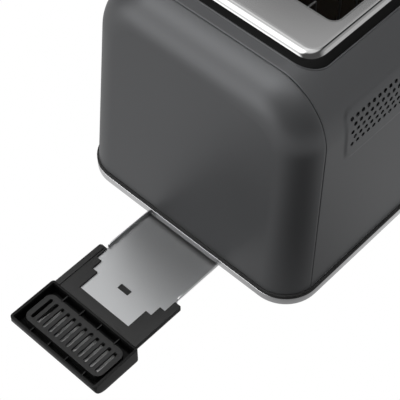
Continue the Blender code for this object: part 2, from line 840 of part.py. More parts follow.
def make_control_board():
    edge = [(-20, 38), (60, 38), (60, 104), (36, 104), (36, 72), (-20, 72)]
    board = plate(
        "control_board", [edge], BOARD_X, BOARD_X + 1.6, "circuit_board", facing=FACING_X
    )
    join(board, box("join_potentiometer", (BOARD_X + 1, -8, DIAL_Z - 8), (BOARD_X + 6, 8, DIAL_Z + 8)))
    for number, z in enumerate(BUTTON_ZS):
        low, high = (BOARD_X + 1, BUTTON_Y - 3, z - 3), (BOARD_X + 6, BUTTON_Y + 3, z + 3)
        join(board, box(f"join_switch_{number + 1}", low, high))


def on_face_plate(name, outlines, y, z, inner, outer, finish):
    """A flat piece that lies on the leaning face. Its outlines are in (y, z) about a point."""
    made = plate(name, outlines, inner, outer, finish, facing=FACING_X)
    made.location = in_metres(on_face(y, z, (inner + outer) / 2))
    upright = Euler(FACING_X).to_matrix()
    made.rotation_euler = (Matrix.Rotation(-END_DRAFT, 3, "Y") @ upright).to_euler()
    return made


def make_bezels():
    ring = [arc((0, 0), DIAL_R + 3, 0, 345, 23), arc((0, 0), 7.5, 0, 330, 11)]
    on_face_plate("dial_bezel", ring, 0, DIAL_Z, GAP, 1.8, "skirt_chrome")
    middle = BUTTON_ZS[1]
    holes = [arc((0, z - middle), BUTTON_R + 0.6, 0, 345, 23) for z in BUTTON_ZS]
    edge = rounded_box((-10.5, -31), (10.5, 31), 9)
    on_face_plate("button_bezel", [edge, *holes], BUTTON_Y, middle, GAP, 1.5, "skirt_chrome")


def make_dial():
    axis = pivot("pivot_browning_dial", on_face(0, DIAL_Z, 0), body)
    dial = face_cylinder("browning_dial", 0, DIAL_Z, DIAL_R, 2.4, 16, "black_plastic", axis, 32)
    bevel(dial, 1.5, 2)
    join(dial, face_cylinder("join_dial_shaft", 0, DIAL_Z, 5.4, -10, 4, carrier=axis))
    pointer = box(
        "join_dial_pointer", (face_x(DIAL_Z) + 14, -1.2, DIAL_Z + 4),
        (face_x(DIAL_Z) + 17.5, 1.2, DIAL_Z + 16), carrier=axis,
    )  # fmt: skip
    join(dial, pointer)


def make_buttons():
    for name, z in zip(("cancel", "defrost", "reheat"), BUTTON_ZS):
        axis = pivot(f"pivot_button_{name}", on_face(BUTTON_Y, z, 0), body)
        button = face_cylinder(
            f"button_{name}", BUTTON_Y, z, BUTTON_R, -8.5, 5, "black_plastic", axis
        )
        bevel(button, 0.8, 2)


def make_terminal_and_gland():
    box("terminal_block", (262, 40, PAN_LOW + 2.3), (284, 56, 25), "black_plastic")
    half = HALF_WIDTH - PAN_INSET
    axis = (GLAND_X, GLAND_Z)
    gland = cylinder(
        "cord_gland", 5.2, (axis[0], half - 5, axis[1]), (axis[0], half + 8, axis[1]),
        "black_plastic", sides=20,
    )  # fmt: skip
    collar = cylinder(
        "join_gland_collar", 6.2, (axis[0], half + GAP, axis[1]), (axis[0], half + 3, axis[1]),
        sides=20,
    )  # fmt: skip
    bore = cylinder(
        "cut_gland_bore", 3.4, (axis[0], half - 9, axis[1]), (axis[0], half + 12, axis[1]), sides=16
    )
    cut(join(gland, collar), bore)


def make_base_screws():
    for end, x in (("tray", SCREW_X), ("lever", LENGTH - SCREW_X)):
        for side, y in (("left", SCREW_Y), ("right", -SCREW_Y)):
            head_top = PAN_LOW - GAP
            screw = cylinder(
                f"base_screw_{end}_{side}", 3.6, (x, y, head_top - 2.2), (x, y, head_top),
                "chassis_steel", sides=16,
            )  # fmt: skip
            shank = f"join_shank_{end}_{side}"
            join(screw, cylinder(shank, 1.6, (x, y, head_top - 1), (x, y, 20), sides=12))


def main():
    make_wrap_shell()
    make_tray_end_cap()
    make_lever_end_cap()
    make_top_bezel()
    make_top_plate()
    make_slot_liners()
    make_base_ring()
    make_skirt()
    make_base_pan()
    make_feet()
    make_base_screws()
    make_tray_guides()
    make_crumb_tray()
    make_tray_handle()
    make_chassis()
    make_elements()
    make_guards()
    make_racks()
    make_lift_bracket()
    make_lever()
    make_armature()
    make_guide_rod()
    make_return_spring()
    make_magnet()
    make_control_board()
    make_bezels()
    make_dial()
    make_buttons()
    make_terminal_and_gland()


clear_scene()
parts = new_collection("toaster")
cutters = new_collection("cutters")
body = pivot("toaster", (-CENTRE_X, 0, 0))
tray_slide = pivot("pivot_tray_slide", (0, 0, TRAY_TOP), body)
carriage = pivot("pivot_carriage", (ROD_X, 0, ARM_Z), body)
main()
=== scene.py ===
"""Pop up toaster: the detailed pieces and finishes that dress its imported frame.

Shapes are worked out in millimetres from the tray end of the body, on the middle plane and the
table. placed() turns such a point into the frame's own metres. +Z is up, +X is the lever end.
"""

import math
from types import SimpleNamespace

import bmesh
import bpy
from bpy.props import FloatProperty, FloatVectorProperty, IntProperty, PointerProperty
from mathutils import Matrix, Vector


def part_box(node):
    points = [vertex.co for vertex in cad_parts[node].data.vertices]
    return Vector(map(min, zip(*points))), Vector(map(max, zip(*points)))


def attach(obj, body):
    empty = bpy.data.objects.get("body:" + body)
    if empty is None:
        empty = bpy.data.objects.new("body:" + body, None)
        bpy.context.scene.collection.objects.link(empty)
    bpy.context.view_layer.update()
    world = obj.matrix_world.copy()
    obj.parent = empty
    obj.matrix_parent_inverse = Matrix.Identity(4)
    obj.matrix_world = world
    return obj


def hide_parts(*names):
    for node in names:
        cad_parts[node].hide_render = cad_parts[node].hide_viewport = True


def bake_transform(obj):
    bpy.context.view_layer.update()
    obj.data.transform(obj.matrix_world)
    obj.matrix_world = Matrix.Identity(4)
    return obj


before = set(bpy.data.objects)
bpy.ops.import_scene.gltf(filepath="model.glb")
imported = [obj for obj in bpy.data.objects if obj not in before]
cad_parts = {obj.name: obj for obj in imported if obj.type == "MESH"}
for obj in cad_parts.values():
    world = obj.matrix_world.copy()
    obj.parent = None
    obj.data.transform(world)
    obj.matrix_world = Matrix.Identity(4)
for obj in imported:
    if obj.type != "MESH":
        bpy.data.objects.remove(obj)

bl_info = {
    "name": "Pop Up Toaster",
    "version": (1, 0, 0),
    "blender": (4, 5, 0),
    "location": "3D View > Sidebar > Toaster",
    "description": "Builds the detailed surfaces of a two-slice toaster around its frame",
    "category": "Object",
}

MM = 0.001
RING_LIP = 1.5
GAP = 0.3
RING_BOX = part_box("base_ring")
BODY_X = RING_BOX[0].x + RING_LIP * MM
LENGTH = (RING_BOX[1].x - RING_BOX[0].x) / MM - 2 * RING_LIP
HALF_WIDTH = RING_BOX[1].y / MM - RING_LIP
RING_TOP = RING_BOX[1].z / MM + GAP
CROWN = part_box("wrap_shell")[1].z / MM - RING_TOP
PLATE_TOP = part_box("top_plate")[1].z / MM
MAIN_BODY = "toaster_body"
TRAY_BODY = "crumb_tray_unit"
CARRIAGE_BODY = "bread_carriage"

SEAM_ROLL, SEAM_DROP = 0.6, 0.5
SHEET_INSET = 0.15
SHELL_HEM, FOOT_HEM = 0.65, 0.6

DIAL_HEIGHT, DIAL_HOLE = 54.0, 6.5
BUTTON_SIDE, BUTTON_HOLE = 48.0, 7.1
BUTTONS = (("cancel", 54.0), ("defrost", 74.0), ("reheat", 94.0))
LEVER_HEIGHT, LEVER_TRAVEL, LEVER_SLOT_HALF = 152.0, 70.0, 3.6


# Settings


def length(label, millimetres, about):
    return FloatProperty(
        name=label, description=about, default=millimetres * MM, unit="LENGTH", precision=5
    )


def angle(label, degrees, about):
    return FloatProperty(
        name=label, description=about, default=math.radians(degrees), subtype="ANGLE"
    )


def colour(label, red, green, blue, about):
    return FloatVectorProperty(
        name=label, description=about, default=(red, green, blue), size=3, subtype="COLOR",
        min=0.0, max=1.0,
    )


def share(label, value, about):
    return FloatProperty(name=label, description=about, default=value, min=0.0, max=1.0)


class ToasterBodySettings(bpy.types.PropertyGroup):
    shoulder: length("Shoulder radius", 42, "Radius of the body's long upper edges")
    end_radius: length("End radius", 25, "Radius of the soft edge round each end face")
    side_draft: angle("Side draft", 2.44, "Inward lean of the long sides")
    end_draft: angle("End draft", 3.65, "Backward lean of the end faces and seams")
    seam: length("Seam", 21.6, "Distance of each seam from its end of the body")
    wrap_sheet: length("Wrap thickness", 1.2, "Thickness of the wrapped steel sheet")
    end_wall: length("End wall", 2.2, "Thickness of the two end covers")
    hole: length("Vent hole", 3.1, "Diameter of a vent hole")
    pitch: length("Vent pitch", 5.2, "Distance between vent holes along a row and between rows")
    hole_rows: IntProperty(name="Vent rows", description="Rows of vent holes on a side", default=5)
    vent_height: length("Vent height", 124.4, "Height of the middle vent row over the base ring")
    vent_end: length("Vent end", 51, "Distance of the first and last vent holes from the ends")
    panel_raise: length("Panel raise", 0.75, "How far the vent panel stands proud of the side")
    panel_below: length("Panel below", 21.4, "Reach of the vent panel below its middle row")
    panel_above: length("Panel above", 17.9, "Reach of the vent panel above its middle row")
    panel_end: length("Panel end", 48, "Distance of the vent panel from each end")
    panel_corner: length("Panel corner", 7, "Corner radius of the vent panel")
    panel_slope: length("Panel slope", 2.6, "Width of the slope round the vent panel")


class ToasterTopSettings(bpy.types.PropertyGroup):
    opening_end: length("Opening end", 41.3, "Distance of the top opening from each end")
    opening_half: length("Opening half width", 65.6, "Half width of the top opening")
    opening_corner: length("Opening corner", 16, "Corner radius of the top opening")
    field_end: length("Field end", 55.4, "Distance of the plate's flat field from each end")
    field_half: length("Field half width", 55.8, "Half width of the plate's flat field")
    field_corner: length("Field corner", 8, "Corner radius of the flat field")
    end_edge: length("End edge radius", 7.5, "Radius that the plate's ends are rolled to")
    side_edge: length("Side edge radius", 2.6, "Radius that the plate's long sides are rolled to")
    edge_turn: angle("Edge turn", 63, "Slope of the plate's rolled edge")
    channel_drop: length("Channel drop", 2.0, "Depth of the black channel under the shell's edge")
    channel_inner: length("Channel inner edge", 192.2, "Height of the channel's edge at the plate")
    slot_end: length("Slot end", 82.3, "Distance of the bread slots from each end")
    slot_outer: length("Slot outer edge", 48.5, "Distance of a slot's outer edge from the middle")
    slot_inner: length("Slot inner edge", 11.5, "Distance of a slot's inner edge from the middle")
    slot_corner: length("Slot corner", 6, "Corner radius of a slot")
    slot_rim: length("Slot rim", 1.3, "Radius that a slot's rim is rolled to")


class ToasterTraySettings(bpy.types.PropertyGroup):
    half: length("Tray half width", 32.7, "Half width of the crumb tray")
    front: length("Tray front", -80, "Where the tray's sheet starts, at rest")
    rear: length("Tray rear", 138, "Where the tray's rear wall stands, at rest")
    sheet: length("Tray sheet", 0.8, "Thickness of the tray's sheet")
    top: length("Tray floor", 14.6, "Height of the tray's floor")
    wall_top: length("Tray wall top", 18.2, "Height of the tray's turned-up sides")
    fold: length("Tray fold", 1.4, "Radius of the tray's folds")
    pan_front: length("Pan front", -39, "Where the tray's turned-up sides start, at rest")
    window_front: length("Window front", -58, "Front edge of the tray's small window")
    window_rear: length("Window rear", -53.6, "Rear edge of the tray's small window")
    window_half: length("Window half width", 4.8, "Half width of the tray's small window")
    handle_back: length("Handle back", -82.5, "Where the handle's bowl meets its frame")
    handle_front: length("Handle front", -122.6, "Where the handle ends")
    handle_half: length("Handle half width", 40, "Half width of the handle")
    handle_top: length("Handle top", 15.6, "Height of the handle's rim")
    handle_low: length("Handle underside", 3.1, "Height of the handle's underside")
    handle_wall: length("Handle wall", 1.9, "Thickness of the handle's walls")
    nose: length("Handle nose", 10, "Radius of the handle's lower front edge")
    ribs: IntProperty(name="Handle ribs", description="Ribs on each side of the grille", default=4)
    rib_pitch: length("Rib pitch", 16.2, "Distance between the handle's ribs")
    rib_half: length("Rib half thickness", 0.35, "Half the thickness of a rib")
    grille_slots: IntProperty(name="Grille slots", description="Slots in the handle", default=12)
    grille_pitch: length("Grille pitch", 5.48, "Distance between the grille's slots")
    grille_front: length("Grille front", -115.3, "Front edge of the raised grille")
    grille_rear: length("Grille rear", -89.5, "Rear edge of the raised grille")
    grille_half: length("Grille half width", 35.2, "Half width of the raised grille")
    grille_top: length("Grille top", 12.9, "Height of the raised grille")
    grille_corner: length("Grille corner", 5.5, "Corner radius of the raised grille")
    grille_sheet: length("Grille thickness", 1.9, "Thickness of the grille's slotted top")
    grille_wall: length("Grille wall", 1.7, "Thickness of the wall under the grille")
    grille_slot: length("Grille slot", 2.7, "Width of a slot in the grille")
    slot_front: length("Grille slot front", -111.9, "Front end of the grille's slots")
    slot_rear: length("Grille slot rear", -93.2, "Rear end of the grille's slots")


class ToasterFinishSettings(bpy.types.PropertyGroup):
    paint: colour("Paint", 0.150, 0.153, 0.158, "Slate metallic paint of the body")
    plastic: colour("Black plastic", 0.021, 0.021, 0.022, "Grained black plastic")
    # One colour for the smooth black plastic and for the painted shade black of the recesses.
    smooth_and_shade_black: colour("Deep black", 0.006, 0.006, 0.006, "Smooth and shaded black plastic")
    # Painted light: a grey ramp under the grille that stands in for the lit table seen through its
    # slots.
    satin: colour("Satin grey", 0.34, 0.34, 0.34, "Floor under the tray's grille")
    polished: colour("Polished steel", 0.74, 0.74, 0.74, "Top plate")
    plated: colour("Plated band", 0.80, 0.80, 0.81, "Skirt round the base")
    rolled: colour("Rolled sheet", 0.76, 0.77, 0.78, "Crumb tray")


class ToasterStageSettings(bpy.types.PropertyGroup):
    focal: FloatProperty(
        name="Focal length", description="Camera lens in millimetres", default=123.2
    )
    azimuth: angle("Azimuth", -46.92, "Turn of the camera round the toaster")
    elevation: angle("Elevation", 52.16, "Height of the camera over the horizon")
    camera_at: FloatVectorProperty(
        name="Camera position", description="Place of the camera", unit="LENGTH", size=3,
        default=(-0.4977, -0.3853, 0.7688),
    )
    floor_radius: length("Floor radius", 6000, "Radius of the round pale floor")
    floor_glossy: share("Floor in reflections", 0.55, "Brightness of the floor in reflections")
    floor_diffuse: share("Floor's own light", 0.15, "Light that the floor throws up")


def in_millimetres(group):
    """A settings group's values, with its lengths in millimetres."""
    values = {}
    for prop in group.bl_rna.properties:
        if prop.identifier in ("rna_type", "name"):
            continue
        value = getattr(group, prop.identifier)
        is_length = prop.unit == "LENGTH" and not prop.is_array
        values[prop.identifier] = value / MM if is_length else value
    return SimpleNamespace(**values)


# Making meshes


def placed(point):
    """A point in millimetres from the tray end, in the frame's metres."""
    return Vector((point[0] * MM + BODY_X, point[1] * MM, point[2] * MM))


def lattice(bm, rows, closed=False):
    """Quads between rows of points, and the vertices of each row."""
    held = [[bm.verts.new(placed(point)) for point in row] for row in rows]
    for first, second in zip(held, held[1:]):
        count = len(first)
        for k in range(count if closed else count - 1):
            after = (k + 1) % count
            bm.faces.new((first[k], first[after], second[after], second[k]))
    return held


def object_of(bm, name, recalculate=True):
    if recalculate:
        bmesh.ops.recalc_face_normals(bm, faces=bm.faces)
    mesh = bpy.data.meshes.new(name)
    bm.to_mesh(mesh)
    bm.free()
    obj = bpy.data.objects.new(name, mesh)
    bpy.context.scene.collection.objects.link(obj)
    return obj


def bake(obj):
    """Applies the object's modifiers."""
    graph = bpy.context.evaluated_depsgraph_get()
    mesh = bpy.data.meshes.new_from_object(obj.evaluated_get(graph))
    obj.modifiers.clear()
    obj.data = mesh
    return obj


def thicken(obj, thickness, offset=-1.0):
    modifier = obj.modifiers.new("sheet", "SOLIDIFY")
    modifier.thickness = thickness * MM
    modifier.offset = offset
    return bake(obj)


def round_off(obj, width, segments=3, turn=40):
    modifier = obj.modifiers.new("rounded_edges", "BEVEL")
    modifier.width = width * MM
    modifier.segments = segments
    modifier.limit_method = "ANGLE"
    modifier.angle_limit = math.radians(turn)
    return bake(obj)


def combine(obj, others, operation):
    """Joins, cuts or intersects the object with helpers, which are then removed."""
    for other in others:
        modifier = obj.modifiers.new("combine", "BOOLEAN")
        modifier.operation = operation
        modifier.object = other
        bake(obj)
        bpy.data.objects.remove(other)
    return obj


def merged(objects, name):
    """One object that holds the meshes of several."""
    bm = bmesh.new()
    for obj in objects:
        obj.data.transform(obj.matrix_world)
        bm.from_mesh(obj.data)
        bpy.data.objects.remove(obj)
    return object_of(bm, name, recalculate=False)


def hand_over(obj, finish, slot, body, *stands_for, turn=35):
    """Shades the piece, gives it its finish and sets it on its body in the frame."""
    obj.data.shade_smooth()
    obj.data.set_sharp_from_angle(angle=math.radians(turn))
    obj.data.materials.clear()
    obj.data.materials.append(bpy.data.materials[finish])
    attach(obj, body)
    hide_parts(*stands_for)
    return obj


def arc(centre, radius, start, end, steps):
    """Points on an arc between two angles in degrees, both ends included."""
    turns = [math.radians(start + (end - start) * k / steps) for k in range(steps + 1)]
    return [(centre[0] + radius * math.cos(a), centre[1] + radius * math.sin(a)) for a in turns]


def spaced(start, end, count):
    """Evenly spaced values, with the last one left out."""
    return [start + (end - start) * k / count for k in range(count)]


def rounded_rectangle(x0, x1, y0, y1, radius, steps=10, runs=12):
    """A closed outline with the same number of points whatever its size."""
    corners = [
        ((x1 - radius, y1 - radius), 0),
        ((x0 + radius, y1 - radius), 90),
        ((x0 + radius, y0 + radius), 180),
        ((x1 - radius, y0 + radius), 270),
    ]
    bends = [arc(centre, radius, start, start + 90, steps) for centre, start in corners]
    outline = []
    for bend, after in zip(bends, bends[1:] + bends[:1]):
        outline += bend[:-1]
        (xa, ya), (xb, yb) = bend[-1], after[0]
        outline += [(xa + (xb - xa) * t, ya + (yb - ya) * t) for t in spaced(0, 1, runs)]
    return outline


def centred_rectangle(end, half, radius, grow=0.0, steps=10, runs=12):
    """A round-cornered outline in the middle of the body's plan, grown outwards."""
    return rounded_rectangle(
        end - grow, LENGTH - end + grow, -half - grow, half + grow,
        max(radius + grow, 0.05), steps, runs,
    )


def slab(name, outlines, low, high, facing="Z"):
    """A flat sheet with holes, from outlines in the plane that it faces out of."""
    curve = bpy.data.curves.new(name, "CURVE")
    curve.dimensions = "2D"
    curve.fill_mode = "BOTH"
    curve.extrude = (high - low) / 2 * MM
    for outline in outlines:
        spline = curve.splines.new("POLY")
        spline.points.add(len(outline) - 1)
        for held, (u, v) in zip(spline.points, outline):
            held.co = (u * MM, v * MM, 0.0, 1.0)
        spline.use_cyclic_u = True
    middle = (low + high) / 2 * MM
    turned = {
        "Z": Matrix.Translation((BODY_X, 0, middle)),
        "X": Matrix.Translation((BODY_X + middle, 0, 0))
        @ Matrix(((0, 0, 1), (1, 0, 0), (0, 1, 0))).to_4x4(),
        "Y": Matrix.Translation((BODY_X, middle, 0))
        @ Matrix(((1, 0, 0), (0, 0, -1), (0, 1, 0))).to_4x4(),
    }[facing]
    return solid_from_curve(curve, name, turned)


def tube(name, paths, radius, closed=False, roundness=3):
    """Wires along paths of points, with filled ends."""
    curve = bpy.data.curves.new(name, "CURVE")
    curve.dimensions = "3D"
    curve.bevel_depth = radius * MM
    curve.bevel_resolution = roundness
    curve.use_fill_caps = not closed
    for path in paths:
        spline = curve.splines.new("POLY")
        spline.points.add(len(path) - 1)
        for held, point in zip(spline.points, path):
            held.co = (*placed(point), 1.0)
        spline.use_cyclic_u = closed
    return solid_from_curve(curve, name, Matrix.Identity(4))


def solid_from_curve(curve, name, place):
    helper = bpy.data.objects.new(name + "_line", curve)
    bpy.context.scene.collection.objects.link(helper)
    bpy.context.view_layer.update()
    graph = bpy.context.evaluated_depsgraph_get()
    mesh = bpy.data.meshes.new_from_object(helper.evaluated_get(graph))
    bpy.data.objects.remove(helper)
    bm = bmesh.new()
    bm.from_mesh(mesh)
    bmesh.ops.remove_doubles(bm, verts=bm.verts, dist=1e-6)
    bm.transform(place)
    return object_of(bm, name)


def block(name, low, high):
    """A box between two corners."""
    bm = bmesh.new()
    bmesh.ops.create_cube(bm, size=1.0)
    low, high = placed(low), placed(high)
    bmesh.ops.scale(bm, vec=high - low, verts=bm.verts)
    bmesh.ops.translate(bm, vec=(low + high) / 2, verts=bm.verts)
    return object_of(bm, name)


def turned(name, profile, place, sides=48, wave=None, ring=False):
    """A shape turned about an axis, from (radius, height) pairs.

    place carries the axis to where it stands, in metres. wave gives a length by which the
    radius changes with the turn, for grips and flutes. A ring's profile is closed on itself;
    any other profile has flat ends.
    """
    bm = bmesh.new()
    rings = []
    for radius, height in profile:
        row = []
        for k in range(sides):
            turn = 2 * math.pi * k / sides
            reach = (radius + (wave(turn, height) if wave else 0.0)) * MM
            spot = Vector((reach * math.cos(turn), reach * math.sin(turn), height * MM))
            row.append(bm.verts.new(place @ spot))
        rings.append(row)
    for first, second in zip(rings, rings[1:] + rings[:1] if ring else rings[1:]):
        for k in range(sides):
            after = (k + 1) % sides
            bm.faces.new((first[k], first[after], second[after], second[k]))
    if not ring:
        bm.faces.new(rings[0][::-1])
        bm.faces.new(rings[-1])
    return object_of(bm, name)


def fillet(points, radius, steps=5):
    """The path with each inner corner swapped for a bend."""
    path = [Vector(points[0])]
    for before, corner, after in zip(points, points[1:], points[2:]):
        before, corner, after = Vector(before), Vector(corner), Vector(after)
        back, on = (before - corner).normalized(), (after - corner).normalized()
        half = back.angle(on) / 2
        room = min((before - corner).length, (after - corner).length) / 2
        reach = min(radius / math.tan(half), room)
        centre = corner + (back + on).normalized() * (reach / math.cos(half))
        start, end = corner + back * reach - centre, corner + on * reach - centre
        path += [centre + start.slerp(end, k / steps) for k in range(steps + 1)]
    path.append(Vector(points[-1]))
    return path


# Finishes


def node_group(name, inputs, outputs):
    """An empty shader group with float inputs and named outputs."""
    group = bpy.data.node_groups.new(name, "ShaderNodeTree")
    for label, default in inputs.items():
        socket = group.interface.new_socket(label, in_out="INPUT", socket_type="NodeSocketFloat")
        socket.default_value = default
    for label in outputs:
        group.interface.new_socket(label, in_out="OUTPUT", socket_type="NodeSocketFloat")
    return group, group.nodes.new("NodeGroupInput"), group.nodes.new("NodeGroupOutput")


def add_node(tree, kind, **values):
    node = tree.nodes.new(kind)
    for key, value in values.items():
        setattr(node, key, value)
    return node


def stretched_noise(tree, source, stretch, scale, detail=3.0):
    """Noise in the object's own space, drawn out along an axis."""
    spot = add_node(tree, "ShaderNodeTexCoord")
    mapping = add_node(tree, "ShaderNodeMapping")
    mapping.inputs["Scale"].default_value = stretch
    noise = add_node(tree, "ShaderNodeTexNoise")
    noise.inputs["Detail"].default_value = detail
    tree.links.new(spot.outputs["Object"], mapping.inputs["Vector"])
    tree.links.new(mapping.outputs["Vector"], noise.inputs["Vector"])
    if source is None:
        noise.inputs["Scale"].default_value = scale
    else:
        tree.links.new(source, noise.inputs["Scale"])
    return noise.outputs["Fac"]


def mixed(tree, factor, low, high):
    """A value between two others, by a factor from 0 to 1."""
    node = add_node(tree, "ShaderNodeMapRange")
    tree.links.new(factor, node.inputs["Value"])
    node.inputs["To Min"].default_value = low
    node.inputs["To Max"].default_value = high
    return node.outputs["Result"]


def make_grain_group():
    """Fine paint or moulded grain: a height, and a mask of soft cloudy variation."""
    group, given, put_out = node_group("fine_grain", {"Scale": 900.0}, ("Height", "Cloud"))
    fine = stretched_noise(group, given.outputs["Scale"], (1, 1, 1), 0)
    cloud = stretched_noise(group, None, (1, 1, 1), 14.0, 2.0)
    group.links.new(fine, put_out.inputs["Height"])
    group.links.new(cloud, put_out.inputs["Cloud"])


def make_streak_group():
    """Rolling and polishing streaks along X: a height, and a mask of faint smears."""
    group, given, put_out = node_group("rolled_streaks", {"Scale": 60.0}, ("Height", "Smear"))
    fine = stretched_noise(group, given.outputs["Scale"], (1, 40, 40), 0)
    smear = stretched_noise(group, None, (1, 3, 3), 9.0, 4.0)
    group.links.new(fine, put_out.inputs["Height"])
    group.links.new(smear, put_out.inputs["Smear"])


def make_finish(
    name, base, roughness, metallic, group, scale, depth, spread=0.06, shift=0.12, **sockets
):
    """A procedural finish: the group's height bumps the surface and its mask varies the gloss.

    spread is how far the roughness varies, and shift how far the colour does.
    """
    made = bpy.data.materials.new(name)
    made.use_nodes = True
    tree = made.node_tree
    shader = tree.nodes["Principled BSDF"]
    pattern = add_node(tree, "ShaderNodeGroup")
    pattern.node_tree = bpy.data.node_groups[group]
    pattern.inputs["Scale"].default_value = scale
    mask = pattern.outputs[1]
    bump = add_node(tree, "ShaderNodeBump")
    bump.inputs["Distance"].default_value = depth * MM
    bump.inputs["Strength"].default_value = 1.0
    tree.links.new(pattern.outputs["Height"], bump.inputs["Height"])
    tree.links.new(bump.outputs["Normal"], shader.inputs["Normal"])
    tree.links.new(
        mixed(tree, mask, max(roughness - spread, 0.02), roughness + spread),
        shader.inputs["Roughness"],
    )
    tint = add_node(tree, "ShaderNodeMix", data_type="RGBA")
    tint.inputs["A"].default_value = (*[c * (1 - shift) for c in base], 1.0)
    tint.inputs["B"].default_value = (*[min(c * (1 + shift), 1.0) for c in base], 1.0)
    tree.links.new(mask, tint.inputs["Factor"])
    tree.links.new(tint.outputs["Result"], shader.inputs["Base Color"])
    shader.inputs["Metallic"].default_value = metallic
    for label, value in sockets.items():
        shader.inputs[label.replace("_", " ")].default_value = value
    return made


def make_finishes(s):
    grain, streaks = "fine_grain", "rolled_streaks"
    make_finish("slate_paint", s.paint, 0.43, 0.7, grain, 1500, 0.002, 0.03, 0.05)
    make_finish("black_plastic", s.plastic, 0.46, 0.0, grain, 2400, 0.004, 0.05, 0.1)
    make_finish("smooth_black", s.smooth_and_shade_black, 0.4, 0.0, grain, 1800, 0.001, Specular_IOR_Level=0.3)
    # Painted shade: a darker, duller copy of the black plastic for the channel, slot wells and
    # handle bowl.
    make_finish(
        "painted_shade_black", s.smooth_and_shade_black, 0.5, 0.0, grain, 1800, 0.001, 0.05, 0.1, Specular_IOR_Level=0.1
    )
    # Painted light grey for the ramp under the grille.
    make_finish("painted_light_grey", s.satin, 0.4, 0.0, grain, 1800, 0.001, 0.05, 0.1)
    make_finish("polished_steel", s.polished, 0.035, 1.0, streaks, 60, 0.00002, 0.006, 0.02)
    make_finish("plated_band", s.plated, 0.14, 1.0, streaks, 40, 0.0003, 0.03, 0.02)
    make_finish("rolled_steel", s.rolled, 0.36, 0.9, streaks, 90, 0.0003, 0.04, 0.04)
    make_finish("sheet_steel", (0.42, 0.43, 0.44), 0.42, 1.0, streaks, 120, 0.004)
    make_finish("wire_steel", (0.30, 0.30, 0.30), 0.32, 1.0, grain, 900, 0.002)
    make_finish("mica_board", (0.12, 0.10, 0.075), 0.55, 0.0, grain, 260, 0.02, 0.08, 0.3)
    make_finish("heating_ribbon", (0.30, 0.26, 0.23), 0.5, 1.0, grain, 700, 0.004, 0.1, 0.3)
    make_finish("foot_rubber", (0.03, 0.03, 0.03), 0.85, 0.0, grain, 1500, 0.02)
    make_finish("green_board", (0.04, 0.17, 0.07), 0.5, 0.0, grain, 500, 0.01)
    make_finish("copper_coil", (0.50, 0.21, 0.08), 0.4, 0.8, streaks, 300, 0.05)


# Body shell


class BodyForm:
    """The body's outer surface: one section all along, cut off by two leaning ends."""

    def __init__(self, s):
        self.s = s
        self.lean = math.tan(s.end_draft)
        self.centre_z = CROWN - s.shoulder
        self.centre_y = (
            HALF_WIDTH
            - self.centre_z * math.tan(s.side_draft)
            - s.shoulder / math.cos(s.side_draft)
        )
        self.side = (self.centre_z + s.shoulder * math.sin(s.side_draft)) / math.cos(s.side_draft)
        self.turn = s.shoulder * (math.pi / 2 - s.side_draft)
        self.half = self.side + self.turn + self.centre_y
        self.runs, self.steps, self.flats = 12, 28, 8
        self.half_face = self.runs + self.steps

    def section(self, reach, inset=0.0):
        """(y, height over the ring) at a distance along the section from the -Y foot."""
        s = self.s
        sign = -1.0
        if reach > self.half:
            reach = 2 * self.half - reach
            sign = 1.0
        if reach <= self.side:
            out, up = math.cos(s.side_draft), math.sin(s.side_draft)
            y, z = HALF_WIDTH - reach * up, reach * out
        elif reach <= self.side + self.turn:
            bend = s.side_draft + (reach - self.side) / s.shoulder
            out, up = math.cos(bend), math.sin(bend)
            y, z = self.centre_y + s.shoulder * out, self.centre_z + s.shoulder * up
        else:
            out, up = 0.0, 1.0
            y, z = self.half - reach, CROWN
        return sign * (y - out * inset), z - up * inset

    def reach_of(self, height):
        """The distance along the section from the -Y foot to a height over the ring."""
        s = self.s
        if height <= self.side * math.cos(s.side_draft):
            return height / math.cos(s.side_draft)
        bend = math.asin((height - self.centre_z) / s.shoulder)
        return self.side + s.shoulder * (bend - s.side_draft)

    def height_at(self, y):
        """The height of the outer surface over the table, above a point in plan."""
        past = max(abs(y) - self.centre_y, 0.0)
        return RING_TOP + self.centre_z + math.sqrt(self.s.shoulder**2 - past**2)

    def cover_row(self, depth, inset):
        """A row of points round an end cover, from foot to foot, at a depth behind its face."""
        s = self.s
        radius = s.shoulder - inset
        start = math.degrees(s.side_draft)
        bend = arc((self.centre_y, self.centre_z), radius, start, 90, self.steps)
        foot = HALF_WIDTH - inset / math.cos(s.side_draft)
        yb, zb = bend[0]
        side = [(foot + (yb - foot) * t, zb * t) for t in spaced(0, 1, self.runs)]
        top = [(self.centre_y * (1 - t), bend[-1][1]) for t in spaced(0, 1, self.flats)]
        right = side + bend[:-1] + top
        section = [(-y, z) for y, z in right] + [(0.0, bend[-1][1])] + right[::-1]
        return [(depth + z * self.lean, y, z + RING_TOP) for y, z in section]


def cover_stations(s):
    """(depth, inset) pairs from inside an end's flat face, over its soft edge, to the seam."""
    radius = s.end_radius
    last = math.asin(1.0 - s.seam / radius)
    steps = 24
    turns = [math.pi / 2 + (last - math.pi / 2) * k / steps for k in range(steps + 1)]
    edge = [(radius * (1 - math.sin(a)), radius * (1 - math.cos(a))) for a in turns]
    depth, inset = edge[-1]
    rolled = [(depth - 0.35, inset + 0.02), (depth - 0.1, inset + 0.12), (depth, inset + 0.4)]
    return [(0.0, radius + 9.0), (0.0, radius + 3.0)] + edge[:-1] + rolled


def end_cover(name, form, far):
    """One end of the body: a leaning face with a soft edge, as far as the seam."""
    rows = [form.cover_row(depth, inset) for depth, inset in cover_stations(form.s)]
    if far:
        rows = [[(LENGTH - x, y, z) for x, y, z in row] for row in rows]
    bm = bmesh.new()
    fill_across(bm, lattice(bm, rows)[0], form.half_face)
    return thicken(object_of_outward(bm, name), form.s.end_wall)


